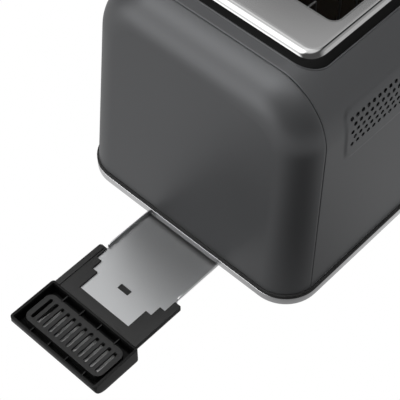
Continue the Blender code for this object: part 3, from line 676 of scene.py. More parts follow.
def fill_across(bm, border, last):
    """Quads across a flat face, between the border's points and their mirrored fellows."""
    top = border[last : len(border) - last]
    steps = len(top) - 1
    lines = []
    for left, right in zip(border[:last], border[::-1]):
        between = [bm.verts.new(left.co.lerp(right.co, k / steps)) for k in range(1, steps)]
        lines.append([left, *between, right])
    lines.append(top)
    for first, second in zip(lines, lines[1:]):
        for k in range(steps):
            bm.faces.new((first[k], first[k + 1], second[k + 1], second[k]))


def object_of_outward(bm, name):
    """The object, with its faces turned away from the middle of the body."""
    middle = placed((LENGTH / 2, 0, RING_TOP + 70))
    bm.normal_update()
    facing = sum(f.normal.dot(f.calc_center_median() - middle) * f.calc_area() for f in bm.faces)
    if facing < 0:
        bmesh.ops.reverse_faces(bm, faces=bm.faces)
    return object_of(bm, name, recalculate=False)


def panel_span(form):
    """Where the vent panel starts and ends along the section."""
    s = form.s
    below, above = s.vent_height - s.panel_below, s.vent_height + s.panel_above
    return form.reach_of(below), form.reach_of(above)


def panel_raise(form, x, reach):
    """How far the vent panel stands out at a place on the developed side."""
    s = form.s
    low, high = panel_span(form)
    reach = min(reach, 2 * form.half - reach)
    corner = s.panel_corner
    over_x = abs(x - LENGTH / 2) - (LENGTH / 2 - s.panel_end - corner)
    over_s = abs(reach - (low + high) / 2) - ((high - low) / 2 - corner)
    past = math.hypot(max(over_x, 0), max(over_s, 0)) + min(max(over_x, over_s), 0) - corner
    t = min(max(0.5 - past / s.panel_slope, 0.0), 1.0)
    return s.panel_raise * t * t * (3 - 2 * t)


def wrap_columns(s, field_start, field_columns):
    """Places along the sheet: shares of the way in from its near edge, then lengths."""
    edge = [0.0, 0.01, 0.025, 0.05, 0.12, 0.3, 0.5, 0.7, 0.85]
    border = spaced(s.panel_end - 3.0, field_start, 7)
    field = [field_start + k * s.pitch / 2 for k in range(field_columns + 1)]
    return edge, border, field


def wrap_rows(form, middle):
    """Distances along the section, from foot to foot, closer together at the panel's edges."""
    s = form.s
    rows = s.hole_rows
    low, high = middle - rows * s.pitch / 2, middle + rows * s.pitch / 2
    panel_low, panel_high = panel_span(form)
    near = 2.4
    bend = form.side + form.turn
    field = [low + k * s.pitch / 2 for k in range(2 * rows + 1)]
    right = (
        [0.0, 0.3, 0.8]
        + spaced(4.0, panel_low - near, 10)
        + spaced(panel_low - near, panel_low + near, 6)
        + spaced(panel_low + near, low, 2)
        + field
        + spaced(high + 1.5, panel_high - near, 2)
        + spaced(panel_high - near, panel_high + near, 6)
        + spaced(panel_high + near, bend, 16)
        + spaced(bend, form.half, 5)
    )
    first = right.index(low)
    return right + [form.half] + [2 * form.half - r for r in reversed(right)], first


def wrap_sheet(form):
    """The steel sheet that wraps the body, drawn flat with its vents and bent to the section."""
    s = form.s
    columns = 2 * round((LENGTH - 2 * s.vent_end) / s.pitch)
    field_start = (LENGTH - columns * s.pitch / 2) / 2
    edge, border, field = wrap_columns(s, field_start, columns)
    reaches, first = wrap_rows(form, form.reach_of(s.vent_height))
    count = len(reaches)
    vents = (first, count - 1 - first - 2 * s.hole_rows)
    bm = bmesh.new()
    start = s.seam + GAP

    def bent(x, reach, past_edge):
        """A place on the sheet, bent to the section, with the edge at the seam rolled in."""
        roll = max(0.0, 1.0 - past_edge / SEAM_ROLL)
        inset = SHEET_INSET + SEAM_DROP * (1 - math.sqrt(1 - roll * roll))
        y, z = form.section(reach, inset - panel_raise(form, x, reach))
        return placed((x, y, z + RING_TOP))

    places = []
    for reach in reaches:
        seam = start + form.section(reach)[1] * form.lean
        near = [seam + (border[0] - seam) * t for t in edge] + border
        line = near + field + [LENGTH - x for x in reversed(near)]
        places.append([(x, reach, min(x - seam, LENGTH - seam - x)) for x in line])
    verts = [[bm.verts.new(bent(*spot)) for spot in line] for line in places]
    field_first = len(edge) + len(border)
    for low in vents:
        for row in range(s.hole_rows):
            for k in range(row % 2, columns - 1, 2):
                hole(bm, verts, places, bent, low + 2 * row, field_first + k, s.hole / 2)
    holed = hole_cells(vents, s.hole_rows, columns, field_first)
    for i in range(count - 1):
        for j in range(len(places[0]) - 1):
            if (i, j) not in holed:
                bm.faces.new((verts[i][j], verts[i][j + 1], verts[i + 1][j + 1], verts[i + 1][j]))
    return thicken(object_of_outward(bm, "wrapped_sheet"), s.wrap_sheet)


def hole_cells(vents, hole_rows, columns, field_first):
    """The lattice cells that the vent holes take up."""
    cells = set()
    for low in vents:
        for row in range(hole_rows):
            for k in range(row % 2, columns - 1, 2):
                i, j = low + 2 * row, field_first + k
                cells |= {(i + a, j + b) for a in (0, 1) for b in (0, 1)}
    return cells


def hole(bm, verts, places, bent, i, j, radius):
    """A round hole in a block of two by two cells, joined to the eight points round it."""
    around = [(0, 0), (0, 1), (0, 2), (1, 2), (2, 2), (2, 1), (2, 0), (1, 0)]
    border = [verts[i + a][j + b] for a, b in around]
    x, reach, past = places[i + 1][j + 1]
    steps = 24
    ring = []
    for k in range(steps):
        turn = 2 * math.pi * k / steps - 0.75 * math.pi
        spot = (x + radius * math.cos(turn), reach + radius * math.sin(turn), past)
        ring.append(bm.verts.new(bent(*spot)))
    each = steps // 8
    for k in range(8):
        inner = [ring[(k * each + m) % steps] for m in range(each, -1, -1)]
        bm.faces.new([border[k], border[(k + 1) % 8], *inner])


def opening_outline(t, grow=0.0, steps=10, runs=12):
    return centred_rectangle(t.opening_end, t.opening_half, t.opening_corner, grow, steps, runs)


def make_body(s, t):
    form = BodyForm(s)
    sheet = wrap_sheet(form)
    opening = slab("opening_cutter", [opening_outline(t)], RING_TOP + 140, RING_TOP + CROWN + 5)
    combine(sheet, [opening], "DIFFERENCE")
    hand_over(sheet, "slate_paint", "painted_shell", MAIN_BODY, "wrap_shell")
    near = end_cover("tray_end_cover", form, False)
    hand_over(near, "slate_paint", "painted_shell", MAIN_BODY, "tray_end_cap", turn=40)
    far = end_cover("lever_end_cover", form, True)
    combine(far, control_cutters(s), "DIFFERENCE")
    hand_over(far, "slate_paint", "painted_shell", MAIN_BODY, "lever_end_cap", turn=40)
    rim = [(x, y, form.height_at(y) - 0.35) for x, y in opening_outline(t, -0.1, 12, 24)]
    hem = tube("opening_hem", [rim], SHELL_HEM, closed=True)
    hand_over(hem, "slate_paint", "painted_shell", MAIN_BODY)
    foot = [
        (x, y, RING_TOP + 0.62)
        for x, y in centred_rectangle(0.0, HALF_WIDTH, s.end_radius, -0.55, 16, 2)
    ]
    hem = tube("foot_hem", [foot], FOOT_HEM, closed=True)
    hand_over(hem, "slate_paint", "painted_shell", MAIN_BODY)


# Lever end


def face_frame(s, y, height):
    """A matrix whose Z axis leaves the lever-end face, square to it, at a height over the table."""
    x = LENGTH - (height - RING_TOP) * math.tan(s.end_draft)
    return (
        Matrix.Translation(placed((x, y, height)))
        @ Matrix.Rotation(-s.end_draft, 4, "Y")
        @ Matrix(((0, 0, 1), (1, 0, 0), (0, 1, 0))).to_4x4()
    )


def control_cutters(s):
    """Shapes that open the lever-end cover for the lever, the dial and the buttons."""
    low, high = LEVER_HEIGHT - LEVER_TRAVEL - 5, LEVER_HEIGHT + 5
    slot = rounded_rectangle(-LEVER_SLOT_HALF, LEVER_SLOT_HALF, low, high, 3.5, 6, 1)
    cutters = [slab("lever_slot_cutter", [slot], LENGTH - 40, LENGTH + 5, "X")]
    spots = [(BUTTON_SIDE, z, BUTTON_HOLE) for _, z in BUTTONS]
    for y, z, radius in [(0.0, DIAL_HEIGHT, DIAL_HOLE), *spots]:
        place = face_frame(s, y, z)
        cutters.append(turned("hole_cutter", [(radius, -20), (radius, 10)], place, 40))
    return cutters


# Top plate and slots


def plate_rows(t):
    """Closed rows of points from inside the plate's flat field, out and down its rolled edge."""
    steps = 16
    turns = [t.edge_turn * k / steps for k in range(steps + 1)]
    field = field_outline(t)
    rows = [raised_outline(field_outline(t, -1.2), PLATE_TOP)]
    for turn in turns:
        row = []
        for (x, y), (out_x, out_y) in zip(field, outward(field)):
            radius = t.side_edge + (t.end_edge - t.side_edge) * out_x * out_x
            reach = radius * math.sin(turn)
            z = PLATE_TOP - radius * (1 - math.cos(turn))
            row.append((x + out_x * reach, y + out_y * reach, z))
        rows.append(row)
    for drop in (1.0, 4.0):
        step = drop / math.tan(t.edge_turn)
        rows.append([
            (x + out_x * step, y + out_y * step, z - drop)
            for (x, y, z), (out_x, out_y) in zip(row, outward(field))
        ])  # fmt: skip
    return rows


def outward(outline):
    """The outward direction at each point of a closed outline that runs anticlockwise."""
    turned_out = []
    for (xa, ya), (xb, yb) in zip(outline[-1:] + outline[:-1], outline[1:] + outline[:1]):
        size = math.hypot(xb - xa, yb - ya)
        turned_out.append(((yb - ya) / size, (xa - xb) / size))
    return turned_out


def field_outline(t, grow=0.0):
    return centred_rectangle(t.field_end, t.field_half, t.field_corner, grow, 14, 20)


def slot_outline(t, sign, grow=0.0, steps=10, runs=12):
    ys = sorted((sign * t.slot_inner, sign * t.slot_outer))
    return rounded_rectangle(
        t.slot_end - grow, LENGTH - t.slot_end + grow, ys[0] - grow, ys[1] + grow,
        t.slot_corner + grow, steps, runs,
    )


def slot_rows(t):
    """(growth, height) pairs down a slot's rolled rim."""
    radius = t.slot_rim
    rolled = []
    for degrees in range(0, 91, 15):
        turn = math.radians(degrees)
        drop = radius * (1 - math.cos(turn))
        rolled.append((radius * (1 - math.sin(turn)), PLATE_TOP - drop))
    return [(radius + 0.8, PLATE_TOP)] + rolled + [(0.0, PLATE_TOP - 6.0)]


def raised_outline(outline, height):
    return [(x, y, height) for x, y in outline]


def make_top(s, t):
    form = BodyForm(s)
    bm = bmesh.new()
    loops = [lattice(bm, plate_rows(t), closed=True)[0]]
    for sign in (1, -1):
        rows = [raised_outline(slot_outline(t, sign, grow), z) for grow, z in slot_rows(t)]
        loops.append(lattice(bm, rows, closed=True)[0])
    edges = []
    for loop in loops:
        edges += [bm.edges.get((a, b)) for a, b in zip(loop, loop[1:] + loop[:1])]
    bmesh.ops.triangle_fill(bm, edges=edges, use_beauty=True)
    plate = object_of(bm, "polished_plate")
    if plate.data.polygons[-1].normal.z < 0:
        plate.data.flip_normals()
    thicken(plate, 0.7)
    hand_over(plate, "polished_steel", "polished_steel", MAIN_BODY, "top_plate")
    make_channel(form, t)
    for sign, side in ((1, "left"), (-1, "right")):
        rows = [
            raised_outline(slot_outline(t, sign, grow), z)
            for grow, z in ((1.6, PLATE_TOP - 1.6), (0.5, PLATE_TOP - 2.6), (0.4, 179.5))
        ]
        bm = bmesh.new()
        lattice(bm, rows, closed=True)
        # The slot wells take the painted shade black, darker than their plastic.
        well = thicken(object_of(bm, f"slot_well_{side}"), 0.7, 1.0)
        hand_over(well, "painted_shade_black", "black_plastic", MAIN_BODY, f"slot_liner_{side}")


def make_channel(form, t):
    """The black channel between the shell's edge and the plate, which follows the shell's curve, in
    the painted shade black.
    """
    outer = opening_outline(t, 0.9, 14, 20)
    inner = field_outline(t, 3.0)
    rows = []
    for step, drop in ((0.0, 0.5), (0.18, 0.5), (0.3, 0.15), (0.42, 0.0), (0.7, 0.0), (1.0, 0.4)):
        row = []
        for (xa, ya), (xb, yb) in zip(outer, inner):
            x, y = xa + (xb - xa) * step, ya + (yb - ya) * step
            outer_z = form.height_at(ya) - t.channel_drop
            row.append((x, y, outer_z + (t.channel_inner - outer_z) * step - drop))
        rows.append(row)
    rows.append([(x, y, z - 3.0) for x, y, z in rows[-1]])
    bm = bmesh.new()
    lattice(bm, rows, closed=True)
    channel = object_of(bm, "top_channel")
    if channel.data.polygons[len(channel.data.polygons) // 2].normal.z < 0:
        channel.data.flip_normals()
    thicken(channel, 1.2)
    hand_over(channel, "painted_shade_black", "black_plastic", MAIN_BODY, "top_bezel")


# Base


def ring_solid(name, profile, radius):
    """A closed band round the body, from the (growth, height) pairs of its section."""
    rows = [
        raised_outline(centred_rectangle(0.0, HALF_WIDTH, radius, grow, 16, 6), z)
        for grow, z in profile
    ]
    bm = bmesh.new()
    lattice(bm, rows + [rows[0]], closed=True)
    bmesh.ops.remove_doubles(bm, verts=bm.verts, dist=1e-7)
    return object_of(bm, name)


def make_base(s):
    top = RING_TOP - GAP
    lip = RING_LIP
    flange = [
        (-13, top), (lip - 0.8, top), (lip - 0.35, top - 0.12), (lip - 0.05, top - 0.5),
        (lip, top - 1.0), (lip, top - 2.2), (lip - 0.25, top - 2.8), (lip - 0.8, top - 3),
        (-13, top - 3),
    ]  # fmt: skip
    ring = ring_solid("base_flange", flange, s.end_radius)
    hand_over(ring, "black_plastic", "black_plastic", MAIN_BODY, "base_ring")
    high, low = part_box("skirt_band")[1].z / MM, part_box("skirt_band")[0].z / MM
    band = [(1.0, high)]
    for k in range(9):
        swell = 1.1 + 0.3 * math.sin(math.pi * (0.15 + 0.7 * k / 8))
        band.append((swell, high - 0.15 - (high - low - 0.9) * k / 8))
    band += [(1.0, low + 0.25), (0.5, low), (-0.4, low), (-0.4, high)]
    skirt = ring_solid("plated_skirt", band, s.end_radius)
    hand_over(skirt, "plated_band", "skirt_chrome", MAIN_BODY, "skirt_band")
    for end in ("tray", "lever"):
        for side in ("left", "right"):
            make_foot(f"foot_{end}_{side}")
            make_screw(f"base_screw_{end}_{side}")


def upright_at(node, height):
    """A matrix that stands on the middle of a node's plan at a height in millimetres."""
    low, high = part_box(node)
    return Matrix.Translation(((low.x + high.x) / 2, (low.y + high.y) / 2, height * MM))


def make_foot(node):
    radius = (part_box(node)[1].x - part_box(node)[0].x) / 2 / MM
    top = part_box(node)[1].z / MM
    profile = [
        (0.4, 1.2), (4.5, 1.2), (5.0, 0.8), (5.4, 0.0), (radius - 1.3, 0.0), (radius - 0.4, 0.35),
        (radius, 1.2), (radius - 0.3, top - 2.4), (radius - 1.0, top - 2.1),
        (radius - 1.0, top - 1.6), (radius - 0.3, top - 1.3), (radius - 0.3, top - 0.5),
        (radius - 0.8, top), (0.4, top),
    ]  # fmt: skip
    foot = turned(node.replace("foot_", "ribbed_foot_"), profile, upright_at(node, 0))
    hand_over(foot, "foot_rubber", "rubber", MAIN_BODY, node)


def make_screw(node):
    """A pan-head screw with a cross in it, under the base."""
    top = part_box(node)[0].z / MM
    place = upright_at(node, top)
    profile = [
        (0.3, 0.0), (1.6, 0.05), (2.7, 0.35), (3.3, 0.9), (3.55, 1.7), (3.5, 2.2), (1.6, 2.2),
        (1.6, 11.0), (0.2, 12.4),
    ]  # fmt: skip
    screw = turned(node.replace("base_", "cross_"), profile, place, 32)
    blade = [(0.1, -1.0), (1.9, -0.9), (1.9, 0.0), (0.6, 1.4)]
    narrow = Matrix.Scale(0.28, 4, (1, 0, 0)) @ Matrix.Rotation(math.radians(45), 4, "Z")
    for turn in (0, 90):
        across = Matrix.Rotation(math.radians(turn), 4, "Z")
        bar = turned("cross_cutter", blade, place @ across @ narrow, 4)
        combine(screw, [bar], "DIFFERENCE")
    hand_over(screw, "sheet_steel", "chassis_steel", MAIN_BODY, node)


# Crumb tray


def tray_section(r, wall_top):
    """(y, height) points across the tray's top face, with a folded corner at each side."""
    half, fold = r.half - r.sheet, r.fold
    bend = arc((half - fold, r.top + fold), fold, 270, 360, 6)
    right = [(half * t, r.top) for t in (0.0, 0.3, 0.6, 0.85)] + bend + [(half, wall_top)]
    return [(-y, z) for y, z in right[:0:-1]] + right


def make_tray(r):
    start, end = r.pan_front, r.rear - r.sheet
    window = rounded_rectangle(
        r.window_front, r.window_rear, -r.window_half, r.window_half, 0.5, 3, 1
    )
    edge = rounded_rectangle(r.front, start, -r.half, r.half, 0.3, 3, 1)
    floor = slab("tray_front_sheet", [edge, window], r.top - r.sheet, r.top)
    section = tray_section(r, r.wall_top)
    wall = []
    for ahead, top in ((0.0, r.top + 1.6), (0.6, r.wall_top - 0.5), (1.6, r.wall_top)):
        wall.append([(start + ahead, y, min(z, top)) for y, z in section])
    for x in spaced(start + 6, end - r.fold, 8):
        wall.append([(x, y, z) for y, z in section])
    bend = arc((end - r.fold, r.top + r.fold), r.fold, 270, 360, 6)
    for x, low in bend + [(end, r.wall_top)]:
        wall.append([(x, y, max(z, low)) for y, z in section])
    bm = bmesh.new()
    lattice(bm, wall)
    pan = object_of(bm, "tray_pan")
    if pan.data.polygons[len(section) // 2].normal.z < 0:
        pan.data.flip_normals()
    thicken(pan, r.sheet)
    tray = merged([floor, pan], "folded_tray")
    hand_over(tray, "rolled_steel", "tray_steel", TRAY_BODY, "crumb_tray")


def handle_side(r, wall, top):
    """The handle's side view, (x, z), with its round lower nose."""
    radius = r.nose - wall
    nose = (r.handle_front + wall + radius, r.handle_low + wall + radius)
    heel = (r.handle_back - wall - 2, r.handle_low + wall + 2)
    return [
        (r.handle_back - wall, top), (r.handle_front + wall, top),
        *arc(nose, radius, 180, 270, 12), *arc(heel, 2, 270, 360, 4),
    ]  # fmt: skip


def handle_plan(r, wall):
    half = r.handle_half - wall
    return rounded_rectangle(
        r.handle_front + wall, r.handle_back - wall + 0.01, -half, half, max(2.6 - wall, 0.8), 6, 1
    )


def handle_shell(r, name, wall, top):
    """The handle's outer or inner form: its plan and its side view, both held to."""
    half = r.handle_half - wall
    form = slab(name, [handle_side(r, wall, top)], -half, half, "Y")
    plan = slab(name + "_plan", [handle_plan(r, wall)], r.handle_low - 5, top + 1)
    return combine(form, [plan], "INTERSECT")


def grille(r):
    """The raised grille in the handle: its slotted top and the wall under it."""
    half = r.grille_half
    corner, wall = r.grille_corner, r.grille_wall
    edge = rounded_rectangle(r.grille_front, r.grille_rear, -half, half, corner, 8, 1)
    slotted = [edge]
    for number in range(r.grille_slots):
        y = (number - (r.grille_slots - 1) / 2) * r.grille_pitch
        low, high = y - r.grille_slot / 2, y + r.grille_slot / 2
        slotted.append(rounded_rectangle(r.slot_front, r.slot_rear, low, high, 1.1, 4, 1))
    top = slab("grille_top", slotted, r.grille_top - r.grille_sheet, r.grille_top)
    inner = rounded_rectangle(
        r.grille_front + wall, r.grille_rear - wall, wall - half, half - wall, corner - wall, 8, 1
    )
    under = slab("grille_wall", [edge, inner], r.handle_low + 1.2, r.grille_top - 1.6)
    return [round_off(top, 0.5, 3), under]


def stepped_arms(r):
    """The frame round the tray: two arms whose inner edges step outwards."""
    steps = [
        (-75.0, 22.7), (-58.6, 22.7), (-58.6, 27.5), (-50.2, 27.5), (-50.2, 31.9),
        (-40.5, 31.9), (-40.5, 37.0), (r.handle_back - 0.7, 37.0),
    ]  # fmt: skip
    return steps + [(x, -y) for x, y in reversed(steps)]


def rail(side):
    """A raised rail beside the tray, with a round end."""
    ys = sorted((side * 33.4, side * 37.6))
    side_view = [(-83.5, 12.0), (-41.0, 12.0), *arc((-42.2, 15.6), 1.2, 0, 90, 4), (-83.5, 16.8)]
    return round_off(slab("rail", [side_view], *ys, "Y"), 0.4, 2)


def handle_ribs(r):
    """The ribs that stiffen the bowl: blades in painted shade black, and the narrow strips along
    their tops.
    """
    shaded_blades, strips = [], []
    spans = (
        (r.grille_rear - 0.5, r.handle_back - r.handle_wall, r.handle_top - 2.0),
        (r.handle_front + r.handle_wall + 0.3, r.grille_front + 0.5, r.grille_top - 2.4),
    )
    for number in range(r.ribs):
        y = (number - (r.ribs - 1) / 2) * r.rib_pitch
        low, high = y - r.rib_half, y + r.rib_half
        for start, end, top in spans:
            shaded_blades.append(block("blade", (start, low, top - 2.6), (end, high, top - 0.3)))
            strips.append(block("strip", (start, low, top - 0.3), (end, high, top)))
    return shaded_blades, strips


def make_handle(r):
    over = r.handle_top + 5
    shell = handle_shell(r, "grip_tray", 0.0, r.handle_top)
    combine(shell, [handle_shell(r, "bowl_cutter", r.handle_wall, over)], "DIFFERENCE")
    round_off(shell, 0.35, 2, 50)
    hand_over(shell, "smooth_black", "black_plastic", TRAY_BODY, "tray_handle")
    # Painted shade: a dark sheet laid over the inside of the bowl, joined with the rib blades.
    shade_sheet = handle_shell(r, "bowl_shade_sheet", r.handle_wall - 0.1, r.handle_top - 1.2)
    combine(shade_sheet, [handle_shell(r, "shade_sheet_cutter", r.handle_wall + 0.4, over)], "DIFFERENCE")
    shaded_blades, strips = handle_ribs(r)
    bowl = merged([shade_sheet, *shaded_blades], "bowl_shade_sheet")
    hand_over(bowl, "painted_shade_black", "black_plastic", TRAY_BODY)
    arms = round_off(slab("arms", [stepped_arms(r)], 14.9, 16.0), 0.25, 2)
    latch_pad = block("latch_pad", (-61.0, -7.5, 12.4), (-50.0, 7.5, 13.7))
    frame_pieces = [arms, *strips, rail(1), rail(-1), *grille(r), latch_pad]
    hand_over(merged(frame_pieces, "tray_frame"), "black_plastic", "black_plastic", TRAY_BODY)
    # Painted light: a grey ramp under the grille, standing in for lit table seen through the slots;
    # it stops short of the outermost slot on the +Y side, which stays dark.
    ramp = [(-113.2, 4.6), (-91.6, 4.6), (-91.6, 5.2), (-102.0, 6.8), (-113.2, 10.4)]
    floor = slab("painted_light_ramp", [ramp], -33.2, 27.0, "Y")
    hand_over(floor, "painted_light_grey", "black_plastic", TRAY_BODY)


# Controls


def make_controls(s):
    place = face_frame(s, 0.0, DIAL_HEIGHT)
    make_dial(place)
    surround = [
        (7.5, 0.3), (20.7, 0.3), (21.0, 0.6), (20.9, 1.2), (20.2, 1.7), (19.4, 1.8), (18.9, 1.5),
        (18.5, 1.1), (7.5, 1.1),
    ]  # fmt: skip
    ring = turned("dial_surround", surround, place, 96, ring=True)
    hand_over(ring, "plated_band", "skirt_chrome", MAIN_BODY, "dial_bezel")
    make_ticks(place)
    make_buttons(s)


def make_dial(place):
    """The browning dial: a fluted cap on its spindle, with a bright pointer."""
    flutes, flute_depth, flute_low, flute_high = 30, 0.28, 5.0, 14.0
    profile = [
        (0.5, -10.0), (5.4, -9.5), (5.4, 2.4), (17.5, 2.4), (17.9, 2.7), (17.8, 3.4),
        (17.0, 6.0), (16.2, 13.8), (15.6, 15.0), (14.6, 15.7), (13.0, 16.0), (0.5, 16.0),
    ]  # fmt: skip

    def fluted(turn, height):
        return flute_depth * math.cos(flutes * turn) if flute_low < height < flute_high else 0.0

    dial = turned("fluted_dial", profile, place, 240, fluted)
    hand_over(dial, "black_plastic", "black_plastic", "dial", "browning_dial")
    pointer_place = place @ Matrix.Translation((0, 11 * MM, 0)) @ Matrix.Scale(5.0, 4, (0, 1, 0))
    pointer = [(0.6, 15.5), (0.6, 16.2), (0.3, 16.3)]
    mark = turned("dial_mark", pointer, pointer_place, 16)
    hand_over(mark, "plated_band", "skirt_chrome", "dial")


def make_ticks(place):
    """Plain marks round the dial, longer towards the darker settings."""
    count, first, step, radius = 7, -30, 40, 22.6
    ticks = []
    for number in range(count):
        turn = math.radians(first + step * number)
        long = 1.0 + 0.25 * number
        bm = bmesh.new()
        bmesh.ops.create_cube(bm, size=1.0)
        bmesh.ops.scale(bm, vec=Vector((long, 0.9, 0.4)) * MM, verts=bm.verts)
        bmesh.ops.translate(bm, vec=Vector((radius + long / 2, 0, 0.15)) * MM, verts=bm.verts)
        bmesh.ops.transform(bm, matrix=place @ Matrix.Rotation(turn, 4, "Z"), verts=bm.verts)
        ticks.append(object_of(bm, "tick"))
    hand_over(merged(ticks, "dial_ticks"), "plated_band", "skirt_chrome", MAIN_BODY)


def make_buttons(s):
    middle = BUTTONS[1][1]
    place = face_frame(s, BUTTON_SIDE, middle)
    outline = rounded_rectangle(-10.5, 10.5, -31, 31, 9, 12, 1)
    holes = [arc((0, z - middle), BUTTON_HOLE, 0, 352.5, 47) for _, z in BUTTONS]
    panel = slab("button_panel", [outline, *holes], 0.3, 1.5)
    panel.data.transform(place @ Matrix.Translation((-BODY_X, 0, 0)))
    hand_over(round_off(panel, 0.4, 3), "plated_band", "skirt_chrome", MAIN_BODY, "button_bezel")
    profile = [
        (0.3, -8.5), (6.3, -8.5), (6.4, -8.2), (6.4, 4.0), (6.2, 4.6), (5.7, 4.95), (5.2, 5.0),
        (3.5, 4.55), (1.8, 4.35), (0.3, 4.3),
    ]  # fmt: skip
    for name, z in BUTTONS:
        key = turned(f"{name}_key_cap", profile, face_frame(s, BUTTON_SIDE, z))
        hand_over(key, "smooth_black", "black_plastic", f"{name}_key", f"button_{name}")


# Heating chamber


def make_guards():
    """Bread guards, each bent from one wire that runs up and down beside the slice."""
    start, end, wires = 68.0, 242.0, 9
    hinge, foot, top = 46.0, 52.0, 174.0
    pitch = (end - start) / (wires - 1)
    for side, sign in (("left", 1), ("right", -1)):
        for place, y in (("outer", sign * 46.4), ("inner", sign * 13.6)):
            node = f"bread_guard_{side}_{place}"
            points = [(start - 3.5, y, hinge), (end, y, hinge), (end, y, top)]
            for number in range(1, wires):
                x = end - number * pitch
                heights = (foot, top) if number % 2 == 0 else (top, foot)
                points += [(x, y, z) for z in heights]
            guard = tube(f"wire_{node}", [fillet(points, 4.0)], 0.9)
            hand_over(guard, "wire_steel", "wire_steel", f"guard_{side}_{place}", node)


def side_box(node):
    """A node's box in side view, in millimetres: x0, x1, z0, z1."""
    low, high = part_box(node)
    return (low.x - BODY_X) / MM, (high.x - BODY_X) / MM, low.z / MM, high.z / MM


def make_elements():
    """Notched mica boards with a ribbon that runs to and fro beside them."""
    runs, margin, notch, inset = 14, 8, 2.0, 9
    for name, y, wired in (("left", 55.0, -1), ("centre", 0.0, 1), ("right", -55.0, 1)):
        x0, x1, z0, z1 = side_box(f"element_board_{name}")
        step = (z1 - z0 - 2 * margin) / (runs - 1)
        heights = [z0 + margin + run * step for run in range(runs)]
        near, far = [], []
        for z in heights:
            for line, edge, depth in ((near, x0, notch), (far, x1, -notch)):
                line += [(edge, z - 1.4), (edge + depth, z - 1.0)]
                line += [(edge + depth, z + 1.0), (edge, z + 1.4)]
        outline = [(x0, z0), *near, (x0, z1), (x1, z1), *far[::-1], (x1, z0)]
        board = slab(f"mica_{name}", [outline], y - 0.5, y + 0.5, "Y")
        hand_over(board, "mica_board", "mica", MAIN_BODY, f"element_board_{name}")
        points = []
        for run, z in enumerate(heights):
            ends = (x0 + inset, x1 - inset) if run % 2 == 0 else (x1 - inset, x0 + inset)
            points += [(x, y + wired * 1.6, z) for x in ends]
        ribbon = tube(f"ribbon_{name}", [fillet(points, 2.0)], 0.5)
        hand_over(ribbon, "heating_ribbon", "element_wire", MAIN_BODY, f"element_wire_{name}")


def make_racks():
    """Bread racks: flanged strips with a toothed top edge."""
    teeth, tooth_depth, thick, flange_half = 24, 0.9, 1.2, 2.5
    for side in ("left", "right"):
        node = f"bread_rack_{side}"
        x0, x1, z0, z1 = side_box(node)
        y = (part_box(node)[0].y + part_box(node)[1].y) / 2 / MM
        pitch = (x1 - x0) / teeth
        root = z1 - tooth_depth
        top = []
        for k in range(teeth):
            x = x1 - k * pitch
            top += [(x, z1), (x - pitch * 0.45, z1), (x - pitch * 0.6, root)]
            top.append((x - pitch * 0.85, root))
        outline = [(x0, z0), (x1, z0), *top, (x0, z1)]
        strip = slab(f"toothed_rack_{side}", [outline], y - thick / 2, y + thick / 2, "Y")
        flange = block(
            f"flange_{side}", (x0, y - flange_half, z0), (x1, y + flange_half, z0 + thick)
        )
        round_off(strip, 0.12, 1)
        round_off(flange, 0.3, 2)
        rack = merged([strip, flange], f"formed_rack_{side}")
        hand_over(rack, "sheet_steel", "chassis_steel", CARRIAGE_BODY, node)


# Carriage


def make_knob():
    """The lever's knob: a soft pad that narrows to a neck at the cover."""
    x0, x1, z0, z1 = side_box("lever_knob")
    half_y, half_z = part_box("lever_knob")[1].y / MM, (z1 - z0) / 2
    middle = (z0 + z1) / 2
    sides = 64
    rows = []
    for along, wide, tall in (
        (0.0, 0.30, 0.50), (0.02, 0.34, 0.55), (0.22, 0.40, 0.58), (0.40, 0.62, 0.66),
        (0.52, 0.86, 0.84), (0.60, 0.95, 0.94), (0.70, 1.0, 1.0), (0.86, 1.0, 1.0),
        (0.94, 0.985, 0.97), (0.985, 0.95, 0.89), (1.0, 0.88, 0.76),
    ):  # fmt: skip
        row = []
        for k in range(sides):
            turn = 2 * math.pi * k / sides
            across, up = math.cos(turn), math.sin(turn)
            y = half_y * wide * math.copysign(abs(across) ** 0.45, across)
            z = half_z * tall * math.copysign(abs(up) ** 0.55, up)
            row.append((x0 + (x1 - x0) * along, y, middle + z))
        rows.append(row)
    bm = bmesh.new()
    held = lattice(bm, rows, closed=True)
    bm.faces.new(held[0])
    bm.faces.new(held[-1])
    knob = object_of(bm, "soft_lever_knob")
    hand_over(knob, "black_plastic", "black_plastic", CARRIAGE_BODY, "lever_knob")


def make_spring():
    """The return spring, built as a fixed coil in the frame spring's place; the real one draws out
    as the carriage goes down.
    """
    low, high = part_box("return_spring")
    x, y = (low.x + high.x) / 2, (low.y + high.y) / 2
    turns, steps, wire = 14, 20, 0.45
    radius = (high.x - low.x) / 2 / MM - wire - 0.05
    path = []
    for k in range(turns * steps + 1):
        cx, cy = arc(((x - BODY_X) / MM, y / MM), radius, 360 * k / steps, 0, 1)[0]
        path.append((cx, cy, low.z / MM + (high.z - low.z) / MM * k / (turns * steps)))
    spring = tube("drawn_spring", [path], wire, roundness=2)
    spring.data.shade_smooth()
    spring.data.materials.append(bpy.data.materials["wire_steel"])
    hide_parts("return_spring")
    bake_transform(spring)


# Frame parts that keep their own shape


KEPT = {
    "black_plastic": ("base_pan", "terminal_block", "cord_gland"),
    "sheet_steel": (
        "tray_guide_left", "tray_guide_right", "chassis_plate_tray_end",
        "chassis_plate_lever_end", "side_reflector_left", "side_reflector_right",
        "lift_bracket", "lever_arm", "magnet_armature",
    ),
    "wire_steel": ("guide_rod",),
    "green_board": ("control_board",),
    "copper_coil": ("hold_magnet",),
}  # fmt: skip


def dress_kept_parts():
    for finish, names in KEPT.items():
        for name in names:
            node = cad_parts[name]
            node.data.materials.clear()
            node.data.materials.append(bpy.data.materials[finish])
            edge = node.modifiers.new("soft_edges", "BEVEL")
            edge.width = 0.3 * MM
            edge.segments = 2
            edge.limit_method = "ANGLE"
            edge.angle_limit = math.radians(50)


# Stage


